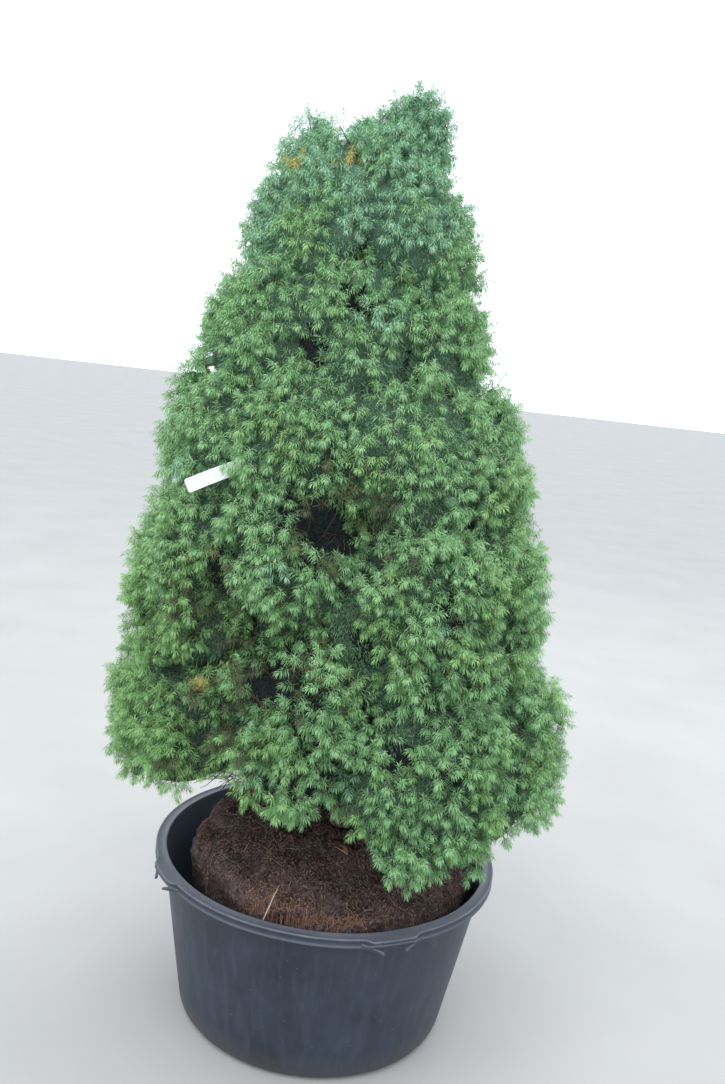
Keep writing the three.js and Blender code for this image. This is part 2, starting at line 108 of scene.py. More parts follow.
class Line3:
    """A curve through space, sampled finely and read by its share of the length."""

    def __init__(self, points: np.ndarray) -> None:
        """Keeps the samples and how far along the curve each one is."""
        self.points = points
        steps = gap(points[1:], points[:-1])
        self.shares = np.concatenate([[0], np.cumsum(steps)]) / steps.sum()

    def at(self, share: float | np.ndarray) -> np.ndarray:
        """Returns the place at a share of the length, or at each of several."""
        return np.stack([np.interp(share, self.shares, self.points[:, i]) for i in range(3)], -1)

    def way(self, share: float) -> np.ndarray:
        """Returns the direction of travel at a share of the length."""
        return unit(self.at(min(1.0, share + 0.01)) - self.at(max(0.0, share - 0.01)))

    @staticmethod
    def bent(start: np.ndarray, pull: np.ndarray, end: np.ndarray) -> "Line3":
        """Returns a curve from start to end that leans towards the place pull."""
        t = np.linspace(0, 1, 41)[:, None]
        return Line3((1 - t) ** 2 * start + 2 * t * (1 - t) * pull + t * t * end)

    @staticmethod
    def through(knots: Sequence[Sequence[float]]) -> "Line3":
        """Returns a smooth curve through every knot, with no loops between near ones."""
        rows = [np.array(knot, float) for knot in knots]
        rows = [2 * rows[0] - rows[1], *rows, 2 * rows[-1] - rows[-2]]
        samples = []
        for a, b, c, d in zip(rows, rows[1:], rows[2:], rows[3:]):
            ab, bc, cd = (np.linalg.norm(q - p) ** 0.5 for p, q in ((a, b), (b, c), (c, d)))
            leave = ((b - a) / ab - (c - a) / (ab + bc) + (c - b) / bc) * bc
            arrive = ((c - b) / bc - (d - b) / (bc + cd) + (d - c) / cd) * bc
            t = np.linspace(0, 1, 61)[:-1, None]
            third = 2 * b - 2 * c + leave + arrive
            second = 3 * c - 3 * b - 2 * leave - arrive
            samples.append(b + leave * t + second * t**2 + third * t**3)
        return Line3(np.concatenate([*samples, rows[-2][None]]))


def in_scene(made: bpy.types.Object) -> bpy.types.Object:
    """Puts an object in the scene and returns it."""
    bpy.context.scene.collection.objects.link(made)
    return made


def object_from_bmesh(name: str, bm: bmesh.types.BMesh, smooth: bool = True) -> bpy.types.Object:
    """Scales a bmesh from millimetres to metres, puts it in the scene at the origin and frees it.

    Args:
        name: the piece's name
        bm: the bmesh
        smooth: whether its faces are shaded smooth

    Returns:
        The new object.
    """
    bmesh.ops.scale(bm, vec=(METRE, METRE, METRE), verts=bm.verts)
    mesh = bpy.data.meshes.new(name)
    bm.to_mesh(mesh)
    bm.free()
    mesh.polygons.foreach_set("use_smooth", [smooth] * len(mesh.polygons))
    return in_scene(bpy.data.objects.new(name, mesh))


def arrays_of(bm: bmesh.types.BMesh) -> tuple[np.ndarray, np.ndarray]:
    """Returns the faces and the corners of a bmesh, and frees it."""
    bm.verts.index_update()
    faces = np.array([[v.index for v in f.verts] for f in bm.faces])
    corners = np.array([v.co[:] for v in bm.verts])
    bm.free()
    return faces, corners


def object_from_arrays(name: str, corners: np.ndarray, faces: np.ndarray) -> bpy.types.Object:
    """Joins many small shapes of flat faces in one object at the origin.

    Args:
        name: the piece's name
        corners: the corners, one row each, in millimetres
        faces: the corner numbers of each face, one row each

    Returns:
        The new object.
    """
    mesh = bpy.data.meshes.new(name)
    mesh.vertices.add(len(corners))
    mesh.vertices.foreach_set("co", (corners * METRE).astype(np.float32).ravel())
    mesh.loops.add(faces.size)
    mesh.loops.foreach_set("vertex_index", faces.astype(np.int32).ravel())
    mesh.polygons.add(len(faces))
    starts = np.arange(0, faces.size, faces.shape[1], dtype=np.int32)
    mesh.polygons.foreach_set("loop_start", starts)
    mesh.update(calc_edges=True)
    return in_scene(bpy.data.objects.new(name, mesh))


def dress(
    piece: bpy.types.Object, material: bpy.types.Material, nodes: Iterable[str]
) -> None:
    """Gives a piece its finish and its place in the frame, and lets it stand for CAD nodes.

    Args:
        piece: the new object
        material: the finish
        nodes: the CAD nodes that the piece stands for
    """
    piece.data.materials.append(material)
    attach(piece, ROOT)
    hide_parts(*nodes)
    LOG.info("%s: %d faces", piece.name, len(piece.data.polygons))


def spun(rows: Sequence[tuple[float, float]], steps: int) -> bmesh.types.BMesh:
    """Returns a closed bmesh, spun round the upright axis from an outline of (radius, height)."""
    bm = bmesh.new()
    verts = [bm.verts.new((r, 0, z)) for r, z in rows]
    geom = verts + [bm.edges.new(pair) for pair in zip(verts, verts[1:])]
    bmesh.ops.spin(
        bm, geom=geom, cent=(0, 0, 0), axis=(0, 0, 1), angle=TURN, steps=steps, use_merge=True
    )
    bmesh.ops.remove_doubles(bm, verts=bm.verts, dist=0.01)
    bmesh.ops.recalc_face_normals(bm, faces=bm.faces)
    return bm


def limb_into(
    bm: bmesh.types.BMesh,
    line: Line3,
    radius: Callable[[float, float], float],
    sides: int,
    rings: int,
) -> None:
    """Adds a closed limb along a line to a bmesh, from a grid that is rolled up round the line.

    Args:
        bm: the bmesh to add to
        line: the limb's middle line
        radius: the limb's radius at a share of its length and an angle round it
        sides: how many faces go round
        rings: how many faces go along
    """
    shares = np.linspace(0, 1, rings + 1)
    middles = line.at(shares)
    ways = np.array([line.way(share) for share in shares])
    first = side_axes(ways[0])[0]
    firsts = []
    for way in ways:
        first = unit(first - way * (first @ way))
        firsts.append(first)
    grid = bmesh.ops.create_grid(bm, x_segments=sides, y_segments=rings, size=0.5)["verts"]
    for vert in grid:
        ring = round((vert.co.y + 0.5) * rings)
        angle = (vert.co.x + 0.5) * TURN
        spoke = radius(float(shares[ring]), angle % TURN)
        across = np.cross(ways[ring], firsts[ring])
        round_it = math.cos(angle) * firsts[ring] + math.sin(angle) * across
        vert.co = Vector(middles[ring] + round_it * spoke)
    bmesh.ops.remove_doubles(bm, verts=grid, dist=0.01)
    rims = [e for e in bm.edges if e.is_boundary]
    bmesh.ops.holes_fill(bm, edges=rims, sides=sides)
    bmesh.ops.recalc_face_normals(bm, faces=bm.faces)


def strands_along(
    path: np.ndarray, widths: np.ndarray, sides: int
) -> tuple[np.ndarray, np.ndarray]:
    """Shapes thin strands with a few flat sides.

    Args:
        path: each strand's places, one row each
        widths: the width at each place, or numbers that stretch to that
        sides: how many sides a strand has

    Returns:
        The corners and the faces of all the strands.
    """
    count, knots, _ = path.shape
    first, second = side_axes(unit(np.gradient(path, axis=1)))
    angles = [k * TURN / sides for k in range(sides)]
    rings = [path + (math.cos(a) * first + math.sin(a) * second) * widths / 2 for a in angles]
    base = (np.arange(count)[:, None] * knots + np.arange(knots - 1)[None]).reshape(-1, 1)
    quads = [[k, (k + 1) % sides, (k + 1) % sides + sides, k + sides] for k in range(sides)]
    faces = (base[:, None] * sides + np.array(quads)[None]).reshape(-1, 4)
    return np.stack(rings, 2).reshape(-1, 3), faces


# Finishes


def colour(code: str) -> tuple[float, float, float, float]:
    """Turns an sRGB hex colour into the linear one that a shader takes."""
    parts = [int(code[i : i + 2], 16) / 255 for i in (1, 3, 5)]
    linear = [p / 12.92 if p <= 0.04045 else ((p + 0.055) / 1.055) ** 2.4 for p in parts]
    return (*linear, 1.0)


def add_node(
    tree: bpy.types.NodeTree,
    kind: str,
    settings: dict[str | int, object],
    links: dict[str | int, bpy.types.NodeSocket],
) -> bpy.types.Node:
    """Adds a node to a material with its settings and its links.

    Args:
        tree: the material's nodes
        kind: the kind of node, without the word that begins them all
        settings: values by property name, or by the name or number of an input
        links: the socket that feeds each input, by the input's name or number

    Returns:
        The new node.
    """
    node = tree.nodes.new("ShaderNode" + kind)
    for key, value in settings.items():
        if key == "stops":
            for element, (place, code) in zip(node.color_ramp.elements, value[:2]):
                element.position, element.color = place, colour(code)
            for place, code in value[2:]:
                node.color_ramp.elements.new(place).color = colour(code)
        elif isinstance(key, str) and hasattr(node, key):
            setattr(node, key, value)
        else:
            node.inputs[key].default_value = value
    for key, socket in links.items():
        tree.links.new(socket, node.inputs[key])
    return node


# The output that a node of each kind is read by, where its row doesn't name one.
READ_BY = {
    "TexNoise": "Fac",
    "TexVoronoi": "Distance",
    "ValToRGB": "Color",
    "MapRange": "Result",
    "Bump": "Normal",
    "Math": "Value",
    "VectorMath": "Vector",
    "Mapping": "Vector",
    "SeparateXYZ": "Z",
    "NewGeometry": "Normal",
    "Mix": 2,
}


def material_of(
    name: str, values: dict[str, object], feeds: dict[str, str], *rows: tuple
) -> bpy.types.Material:
    """Makes a material from rows of nodes that are linked by their names.

    Args:
        name: the material's name
        values: the shader's plain values
        feeds: which node feeds each of the shader's other inputs
        rows: each node's name, kind, settings, links and, where it needs one, output; the name
            "place" stands for the place on the object

    Returns:
        The material.
    """
    material = bpy.data.materials.new(name)
    material.use_nodes = True
    tree = material.node_tree
    shader = tree.nodes["Principled BSDF"]
    sockets = {"place": add_node(tree, "TexCoord", {}, {}).outputs["Object"]}
    for label, kind, settings, links, *output in rows:
        fed = {key: sockets[source] for key, source in links.items()}
        node = add_node(tree, kind, settings, fed)
        sockets[label] = node.outputs[output[0] if output else READ_BY[kind]]
    for key, value in values.items():
        shader.inputs[key].default_value = value
    for key, source in feeds.items():
        tree.links.new(sockets[source], shader.inputs[key])
    return material


def grit(size: float, detail: float, roughness: float = 0.5) -> dict[str, float]:
    """Returns the settings of a pattern whose grains have a size in metres."""
    return {"Scale": 1 / size, "Detail": detail, "Roughness": roughness}


def span(low: float, high: float, least: float = 0, most: float = 1) -> dict[str, float]:
    """Returns the settings that turn low to high into least to most."""
    return {"From Min": low, "From Max": high, "To Min": least, "To Max": most}


def relief(strength: float, depth: float) -> dict[str, float]:
    """Returns the settings of a relief with a strength and a depth in metres."""
    return {"Strength": strength, "Distance": depth}


def over(code: str) -> dict[str | int, object]:
    """Returns the settings that lay a hex colour over another."""
    return {"data_type": "RGBA", 7: colour(code)}


AT_PLACE = {"Vector": "place"}
MATT = {"Specular IOR Level": 0.2, "Roughness": 0.85}


@dataclass(frozen=True)
class NeedleTone:
    """The waxy skin of living needles: one plain green, with a sheen that comes and goes."""

    name: str
    green: str

    def make(self) -> bpy.types.Material:
        """Returns the material: the green is plain, and noise roughens its gloss."""
        return material_of(
            self.name,
            {"Base Color": colour(self.green), "Specular IOR Level": 0.2},
            {"Roughness": "gloss"},
            # Wax wears off here and there, so some needles glint and others stay dull.
            ("wax", "TexNoise", grit(0.012, 2), AT_PLACE),
            ("gloss", "MapRange", span(0.3, 0.7, 0.55, 0.8), {"Value": "wax"}),
        )


@dataclass(frozen=True)
class WoodFinish:
    """Twigs and dry scraps: a dull fibrous surface in two close browns."""

    name: str
    dark: str
    light: str
    grain: float = 0.004

    def make(self) -> bpy.types.Material:
        """Returns the material: noise mixes the two browns and lifts a fine grain."""
        browns = {"stops": ((0.35, self.dark), (0.65, self.light))}
        return material_of(
            self.name,
            MATT,
            {"Base Color": "browns", "Normal": "lift"},
            ("grain", "TexNoise", grit(self.grain, 4, 0.65), AT_PLACE),
            ("browns", "ValToRGB", browns, {"Fac": "grain"}),
            ("lift", "Bump", relief(0.5, 0.0006), {"Height": "grain"}),
        )


@dataclass(frozen=True)
class ShadeFinish:
    """The close inner twigs and old needles that show between the shoots, coloured dark as painted
    shade.
    """

    name: str = "old_needles_painted_shade"
    pit: str = "#262e29"
    green: str = "#435c49"
    fleck: str = "#5d6c52"
    upper: str | None = None

    def make(self) -> bpy.types.Material:
        """Returns the material: dark green painted shade flecked with brown, and deeply rough."""
        greens = {"stops": ((0.35, self.pit), (0.5, self.green), (0.66, self.fleck))}
        rows = [
            ("flecks", "TexNoise", grit(0.0035, 3, 0.75), AT_PLACE),
            ("greens", "ValToRGB", greens, {"Fac": "flecks"}),
            ("lift", "Bump", relief(1, 0.004), {"Height": "flecks"}),
        ]
        if self.upper:
            # Towards the top the inner growth is painted pale and a little blue: painted sky light.
            rows += [
                ("height", "SeparateXYZ", {}, AT_PLACE),
                ("share", "MapRange", span(0.8, 1.4, 0, 0.7), {"Value": "height"}),
                ("cast", "Mix", over(self.upper), {0: "share", 6: "greens"}),
            ]
        cast = "cast" if self.upper else "greens"
        values = {"Specular IOR Level": 0.1, "Roughness": 0.95}
        return material_of(self.name, values, {"Base Color": cast, "Normal": "lift"}, *rows)


@dataclass(frozen=True)
class BarkFinish:
    """Spruce bark: thin grey-brown scales with reddish cracks between them."""

    name: str = "spruce_bark"
    scale_size: float = 0.007

    def make(self) -> bpy.types.Material:
        """Returns the material: cells taller than they are wide make scales with dark cracks."""
        browns = {"stops": ((0.35, "#2a1d18"), (0.6, "#57443a"), (0.95, "#7d6c60"))}
        cells = {"feature": "DISTANCE_TO_EDGE", "Scale": 1 / self.scale_size}
        both = {"operation": "MULTIPLY_ADD", 1: 2.0}
        return material_of(
            self.name,
            {"Specular IOR Level": 0.2, "Roughness": 0.9},
            {"Base Color": "browns", "Normal": "lift"},
            ("tall", "Mapping", {"Scale": (1, 1, 0.45)}, AT_PLACE),
            ("cracks", "TexVoronoi", cells, {"Vector": "tall"}),
            ("grain", "TexNoise", grit(0.003, 5), {"Vector": "tall"}),
            ("both", "Math", both, {0: "cracks", 2: "grain"}),
            ("browns", "ValToRGB", browns, {"Fac": "both"}),
            ("lift", "Bump", relief(0.8, 0.002), {"Height": "both"}),
        )


@dataclass(frozen=True)
class PeatFinish:
    """The peaty root ball: damp red-brown crumbs and fibres with black pits."""

    name: str = "peat_root_ball"

    def make(self) -> bpy.types.Material:
        """Returns the material: a coarse and a fine noise give crumbs, damp patches and relief."""
        browns = ((0.33, "#262223"), (0.46, "#4b403f"), (0.6, "#705f5b"), (0.75, "#98867f"))
        crumbs = grit(0.005, 6, 0.7) | {"Distortion": 0.6}
        return material_of(
            self.name,
            {"Specular IOR Level": 0.15, "Roughness": 0.95},
            {"Base Color": "dampened", "Normal": "lift"},
            ("crumbs", "TexNoise", crumbs, AT_PLACE),
            ("patches", "TexNoise", grit(0.05, 3), AT_PLACE),
            ("browns", "ValToRGB", {"stops": browns}, {"Fac": "crumbs"}),
            ("damp", "MapRange", span(0.35, 0.65, 0.55, 1.15), {"Value": "patches"}),
            ("dampened", "VectorMath", {"operation": "SCALE"}, {0: "browns", "Scale": "damp"}),
            ("lift", "Bump", relief(1, 0.004), {"Height": "crumbs"}),
        )


@dataclass(frozen=True)
class PotFinish:
    """Moulded black polypropylene that has stood outside: streaks, scuffs and mud, with dust and a
    painted sky reflection on the rim, painted light inside the wall and painted highlights on its
    edges.
    """

    name: str = "nursery_pot_polypropylene"
    skirt_height: float = 0.255

    def make(self) -> bpy.types.Material:
        """Returns the material: charcoal, with dust and a painted sky reflection where it faces up,
        painted light on the inside of the wall, and pale rubbed wear with painted highlights on the
        edges.
        """
        low = self.skirt_height
        times = {"operation": "MULTIPLY"}
        return material_of(
            self.name,
            {},
            {"Base Color": "worn", "Roughness": "gloss", "Normal": "lift"},
            ("height", "SeparateXYZ", {}, AT_PLACE),
            ("normal", "NewGeometry", {}, {}),
            ("clouds", "TexNoise", grit(0.09, 5, 0.6), AT_PLACE),
            (
                "wall", "ValToRGB", {"stops": ((0.3, "#181e2a"), (0.7, "#2d3646"))},
                {"Fac": "clouds"},
            ),
            # Rain leaves faint pale streaks down the wall.
            ("tall", "Mapping", {"Scale": (1, 1, 0.06)}, AT_PLACE),
            ("streaks", "TexNoise", grit(0.012, 4), {"Vector": "tall"}),
            ("streak_share", "MapRange", span(0.5, 0.78, 0, 0.24), {"Value": "streaks"}),
            ("streaked", "Mix", over("#4f5763"), {0: "streak_share", 6: "wall"}),
            # The inside of the wall is painted a little lighter where it stands above the peat:
            # painted light falling into the gap.
            (
                "turned", "VectorMath", {"operation": "DOT_PRODUCT"},
                {0: "normal", 1: "place"}, "Value",
            ),
            ("inside", "MapRange", span(-0.08, -0.16, 0, 0.8), {"Value": "turned"}),
            ("bleached", "Mix", over("#6c7a8e"), {0: "inside", 6: "streaked"}),
            # Whatever faces up is made lighter, most of all the rim: partly dust, partly a painted
            # sky reflection.
            ("facing", "SeparateXYZ", {}, {"Vector": "normal"}),
            ("dusty", "MapRange", span(0.1, 0.9, 0, 0.75), {"Value": "facing"}),
            ("cloudy", "Math", {"operation": "ADD", 1: 0.4}, {0: "clouds"}),
            ("patchy", "Math", times, {0: "dusty", 1: "cloudy"}),
            # The rim and its skirt are painted a little lighter than the wall: a painted sky
            # reflection.
            ("rim_share", "MapRange", span(low - 0.012, low, 0, 0.3), {"Value": "height"}),
            ("rimmed", "Mix", over("#3b404c"), {0: "rim_share", 6: "bleached"}),
            ("dusted", "Mix", over("#6d727c"), {0: "patchy", 6: "rimmed"}),
            # Mud and scuffs round the foot.
            ("foot", "MapRange", span(0.05, 0, 0, 0.5), {"Value": "height"}),
            ("specks", "TexNoise", grit(0.006, 4, 0.7), AT_PLACE),
            ("mud", "Math", times, {0: "foot", 1: "specks"}),
            ("muddy", "Mix", over("#6d6258"), {0: "mud", 6: "dusted"}),
            ("fleck_share", "MapRange", span(0.66, 0.74, 0, 0.45), {"Value": "specks"}),
            ("flecked", "Mix", over("#7f858e"), {0: "fleck_share", 6: "muddy"}),
            # The raised edges are rubbed pale, more in some places than in others, and painted
            # highlights run along them.
            ("sharp", "NewGeometry", {}, {}, "Pointiness"),
            ("edge", "MapRange", span(0.53, 0.62), {"Value": "sharp"}),
            ("rubs", "TexNoise", grit(0.03, 4, 0.7), AT_PLACE),
            ("rub_share", "MapRange", span(0.42, 0.66, 0.1, 0.6), {"Value": "rubs"}),
            ("worn_share", "Math", times, {0: "edge", 1: "rub_share"}),
            ("worn", "Mix", over("#8b94a3"), {0: "worn_share", 6: "flecked"}),
            ("gloss", "MapRange", span(0.3, 0.7, 0.38, 0.6), {"Value": "clouds"}),
            ("lift", "Bump", relief(0.25, 0.0006), {"Height": "specks"}),
        )


@dataclass(frozen=True)
class PaleFinish:
    """A pale smooth surface with the least mottling: the label's blank plastic, or the floor."""

    name: str
    shade: str
    light: str
    high: float
    size: float
    detail: float
    roughness: float

    def make(self) -> bpy.types.Material:
        """Returns the material: noise moves between two tones that lie close together."""
        tones = {"stops": ((0.3, self.shade), (self.high, self.light))}
        return material_of(
            self.name,
            {"Roughness": self.roughness},
            {"Base Color": "tones"},
            ("marks", "TexNoise", grit(self.size, self.detail), AT_PLACE),
            ("tones", "ValToRGB", tones, {"Fac": "marks"}),
        )


# Pot


@dataclass
class NurseryPot:
    """The squat moulded pot: a tapered wall, a flat rim with a skirt, and four hand grips."""

    rim_radius: float = 275
    height: float = 269
    foot_radius: float = 216
    wall: float = 4.5
    flange: float = 17
    skirt: float = 14
    foot_round: float = 16
    edge_round: float = 0.9
    grip_azimuths: tuple[float, ...] = (-149.6, -66.4, 30.4, 113.6)
    grip_half_angle: float = 9
    grip_fade: float = 2.4
    grip_proud: float = 8
    grip_rise: float = 5.5
    lug_drop: float = 7.5
    flare_from: float = 3.3
    flare_angle: float = 6.5
    flare_proud: float = 1.5
    flare_thick: float = 4.5
    flare_steps: int = 6
    out_of_true: float = 1.1
    steps: int = 192

    def __post_init__(self) -> None:
        """Works out where the skirt ends."""
        self.low = self.height - self.skirt

    def profile(self) -> list[tuple[float, float]]:
        """Returns the wall's outline as (radius, height), from the foot's middle and back."""
        foot, outer, low, top = self.foot_radius, self.rim_radius, self.low, self.height
        inner = outer - self.flange
        slope = (inner + self.wall - foot) / top
        rows = [(0, 4.0), (foot - 62, 4.0), (foot - 56, 0), (foot, 0)]
        rows += [(foot + slope * z, z) for z in (60, 120, 180, 235, top - 4)]
        # The skirt is a little sunk between a bead at its foot and the lip of the rim.
        rows += [(outer - 3, top - 4), (outer - 3, low), (outer, low), (outer, low + 1.6)]
        rows += [(outer - 1.3, low + 2.8), (outer - 1.3, top - 4.4), (outer, top - 3.2)]
        rows += [(outer, top - 1), (outer - 1, top), (outer - 2.4, top), (outer - 3.6, top - 0.7)]
        rows += [(inner + 4, top - 0.8), (inner + 2.6, top), (inner, top), (inner - 0.5, top - 4)]
        rows += [(foot - self.wall + slope * z, z) for z in (235, 180, 120, 60)]
        return [*rows, (foot - self.wall - 4, 12), (foot - 30, 9), (0, 9)]

    def turn(self) -> bmesh.types.BMesh:
        """Returns the wall, spun from its outline, with its edges rounded as by a mould."""
        bm = spun(self.profile(), self.steps)
        outer = self.rim_radius
        sharp = [(outer, self.low), (outer - 3, self.low), (outer - self.flange, self.height)]
        for rings, offset, segments in (
            ([(self.foot_radius, 0)], self.foot_round, 5),
            (sharp, self.edge_round, 2),
        ):
            edges = [e for e in bm.edges if any(self.is_ring(e, r, z) for r, z in rings)]
            self.round_off(bm, edges, offset, segments)
        return bm

    @staticmethod
    def is_ring(edge: bmesh.types.BMEdge, radius: float, height: float) -> bool:
        """Returns whether an edge lies along the ring at a radius and a height."""
        return all(
            abs(math.hypot(v.co.x, v.co.y) - radius) < 0.3 and abs(v.co.z - height) < 0.2
            for v in edge.verts
        )

    @staticmethod
    def round_off(
        bm: bmesh.types.BMesh, edges: list[bmesh.types.BMEdge], offset: float, segments: int
    ) -> None:
        """Rounds edges of a bmesh over an offset in millimetres."""
        bmesh.ops.bevel(
            bm, geom=edges, offset=offset, offset_type="OFFSET", segments=segments, profile=0.5,
            affect="EDGES", material=-1, clamp_overlap=True,
        )

    def off_grip(self, azimuth: float) -> float:
        """Returns how far an azimuth is from the nearest grip's middle, in degrees."""
        return min(abs((azimuth - a + 180) % 360 - 180) for a in self.grip_azimuths)

    def shape_grips(self, bm: bmesh.types.BMesh) -> None:
        """Pulls the skirt out at each grip, and sets the whole wall a hair out of true."""
        half = self.grip_half_angle
        for vert in bm.verts:
            radius = math.hypot(vert.co.x, vert.co.y)
            if radius < 1:
                continue
            off = self.off_grip(math.degrees(math.atan2(vert.co.y, vert.co.x)))
            inside = 1 - ease(off, half - self.grip_fade, half)
            on_skirt = radius > self.rim_radius - 6 and vert.co.z > self.low - 3
            push = self.grip_proud * inside if on_skirt else 0.0
            push += noise.noise(Vector(vert.co) / 150) * self.out_of_true
            lift = self.grip_rise * inside if on_skirt and vert.co.z < self.low + 3 else 0.0
            vert.co.x *= 1 + push / radius
            vert.co.y *= 1 + push / radius
            wave = 0.8 * noise.noise(Vector((vert.co.x, vert.co.y, 0)) / 120)
            vert.co.z += lift + wave * ease(vert.co.z, 40, 200)

    def add_flares(self, bm: bmesh.types.BMesh) -> None:
        """Adds the ribs that flare out of the skirt under both ends of each grip."""
        for azimuth in self.grip_azimuths:
            for side in (-1, 1):
                rings = [
                    self.flare_ring(bm, azimuth, side, k / self.flare_steps)
                    for k in range(self.flare_steps + 1)
                ]
                faces = [bm.faces.new(rings[0]), bm.faces.new(rings[-1])]
                for near, far in zip(rings, rings[1:]):
                    for k in range(4):
                        after = (k + 1) % 4
                        faces.append(bm.faces.new((near[k], near[after], far[after], far[k])))
                bmesh.ops.recalc_face_normals(bm, faces=faces)
                edges = list({edge for face in faces for edge in face.edges})
                sharp = [e for e in edges if e.calc_face_angle(0) > 0.6]
                self.round_off(bm, sharp, self.edge_round, 2)

    def flare_ring(
        self, bm: bmesh.types.BMesh, azimuth: float, side: int, share: float
    ) -> list[bmesh.types.BMVert]:
        """Returns the four corners of a rib's section at a share of its length."""
        angle = math.radians(azimuth + side * (self.flare_from + self.flare_angle * (1 - share)))
        outer = self.rim_radius + 0.4 + (self.grip_proud + self.flare_proud) * share**1.4
        inner = max(self.rim_radius - 3, outer - self.flare_thick)
        foot = self.low - self.lug_drop * share**1.2
        top = self.low + 6 - (self.lug_drop + 2.5) * share**1.2
        rows = ((inner, top + 1), (outer, top), (outer, foot), (inner, foot))
        return [bm.verts.new((r * math.cos(angle), r * math.sin(angle), z)) for r, z in rows]

    def build(self) -> None:
        """Builds and dresses the pot."""
        bm = self.turn()
        self.shape_grips(bm)
        self.add_flares(bm)
        dress(object_from_bmesh("nursery_pot", bm), PotFinish().make(), ["pot"])


# Root ball

# The ball's outline as (radius, height), from its foot's middle to its top's.
BALL = (
    (0, 9.5), (173, 9.5), (192, 26), (223, 210), (226, 250), (222, 266), (212, 276), (188, 286),
    (165, 293), (130, 300), (88, 308), (50, 308), (0, 308),
)
# What lies on the peat: name, finish, how many there are, their least and greatest length, their
# width, the ring that they lie on, how far their ends stand up, and the part of the ring.
DARK_FIBRE = WoodFinish("dark_root_fibre", "#453735", "#6c5650", 0.003)
RED_FIBRE = WoodFinish("red_root_fibre", "#71514a", "#997367", 0.003)
PEAT_CHIP = WoodFinish("peat_chip", "#4f423d", "#9a877c")
TAN_STRAW = WoodFinish("dry_straw", "#9f7759", "#c8a27f")
ORANGE_STRAW = WoodFinish("orange_straw", "#8f6650", "#c09478")
GREY_TWIG = WoodFinish("dead_twig_wood", "#5d5550", "#8d857c")
LITTER = (
    ("root_fibres_dark", DARK_FIBRE, 3600, (5, 17), 1.1, (0, 219), 3),
    ("root_fibres_red", RED_FIBRE, 2500, (4, 14), 1.1, (0, 219), 4),
    ("peat_chips", PEAT_CHIP, 3100, (2.5, 6), 2.6, (0, 218), 2),
    ("straw_on_ball", TAN_STRAW, 260, (8, 26), 0.9, (0, 217), 6),
    ("straw_by_rim", ORANGE_STRAW, 220, (7, 20), 0.9, (204, 219), 6, (-124, -72)),
    ("straw_in_front", ORANGE_STRAW, 40, (7, 20), 0.9, (186, 218), 5, (-116, -90)),
    ("dead_twigs_on_ball", GREY_TWIG, 60, (30, 80), 1.5, (60, 200), 12),
)
# A pale stalk that leans on the peat near the rim, and the middle of a scrap of dry leaf.
STALK = ((-77, -238, 262), (-71, -226, 277), (-66, -213, 289), (-60, -200, 299))
LEAF = (24, -96, 310)


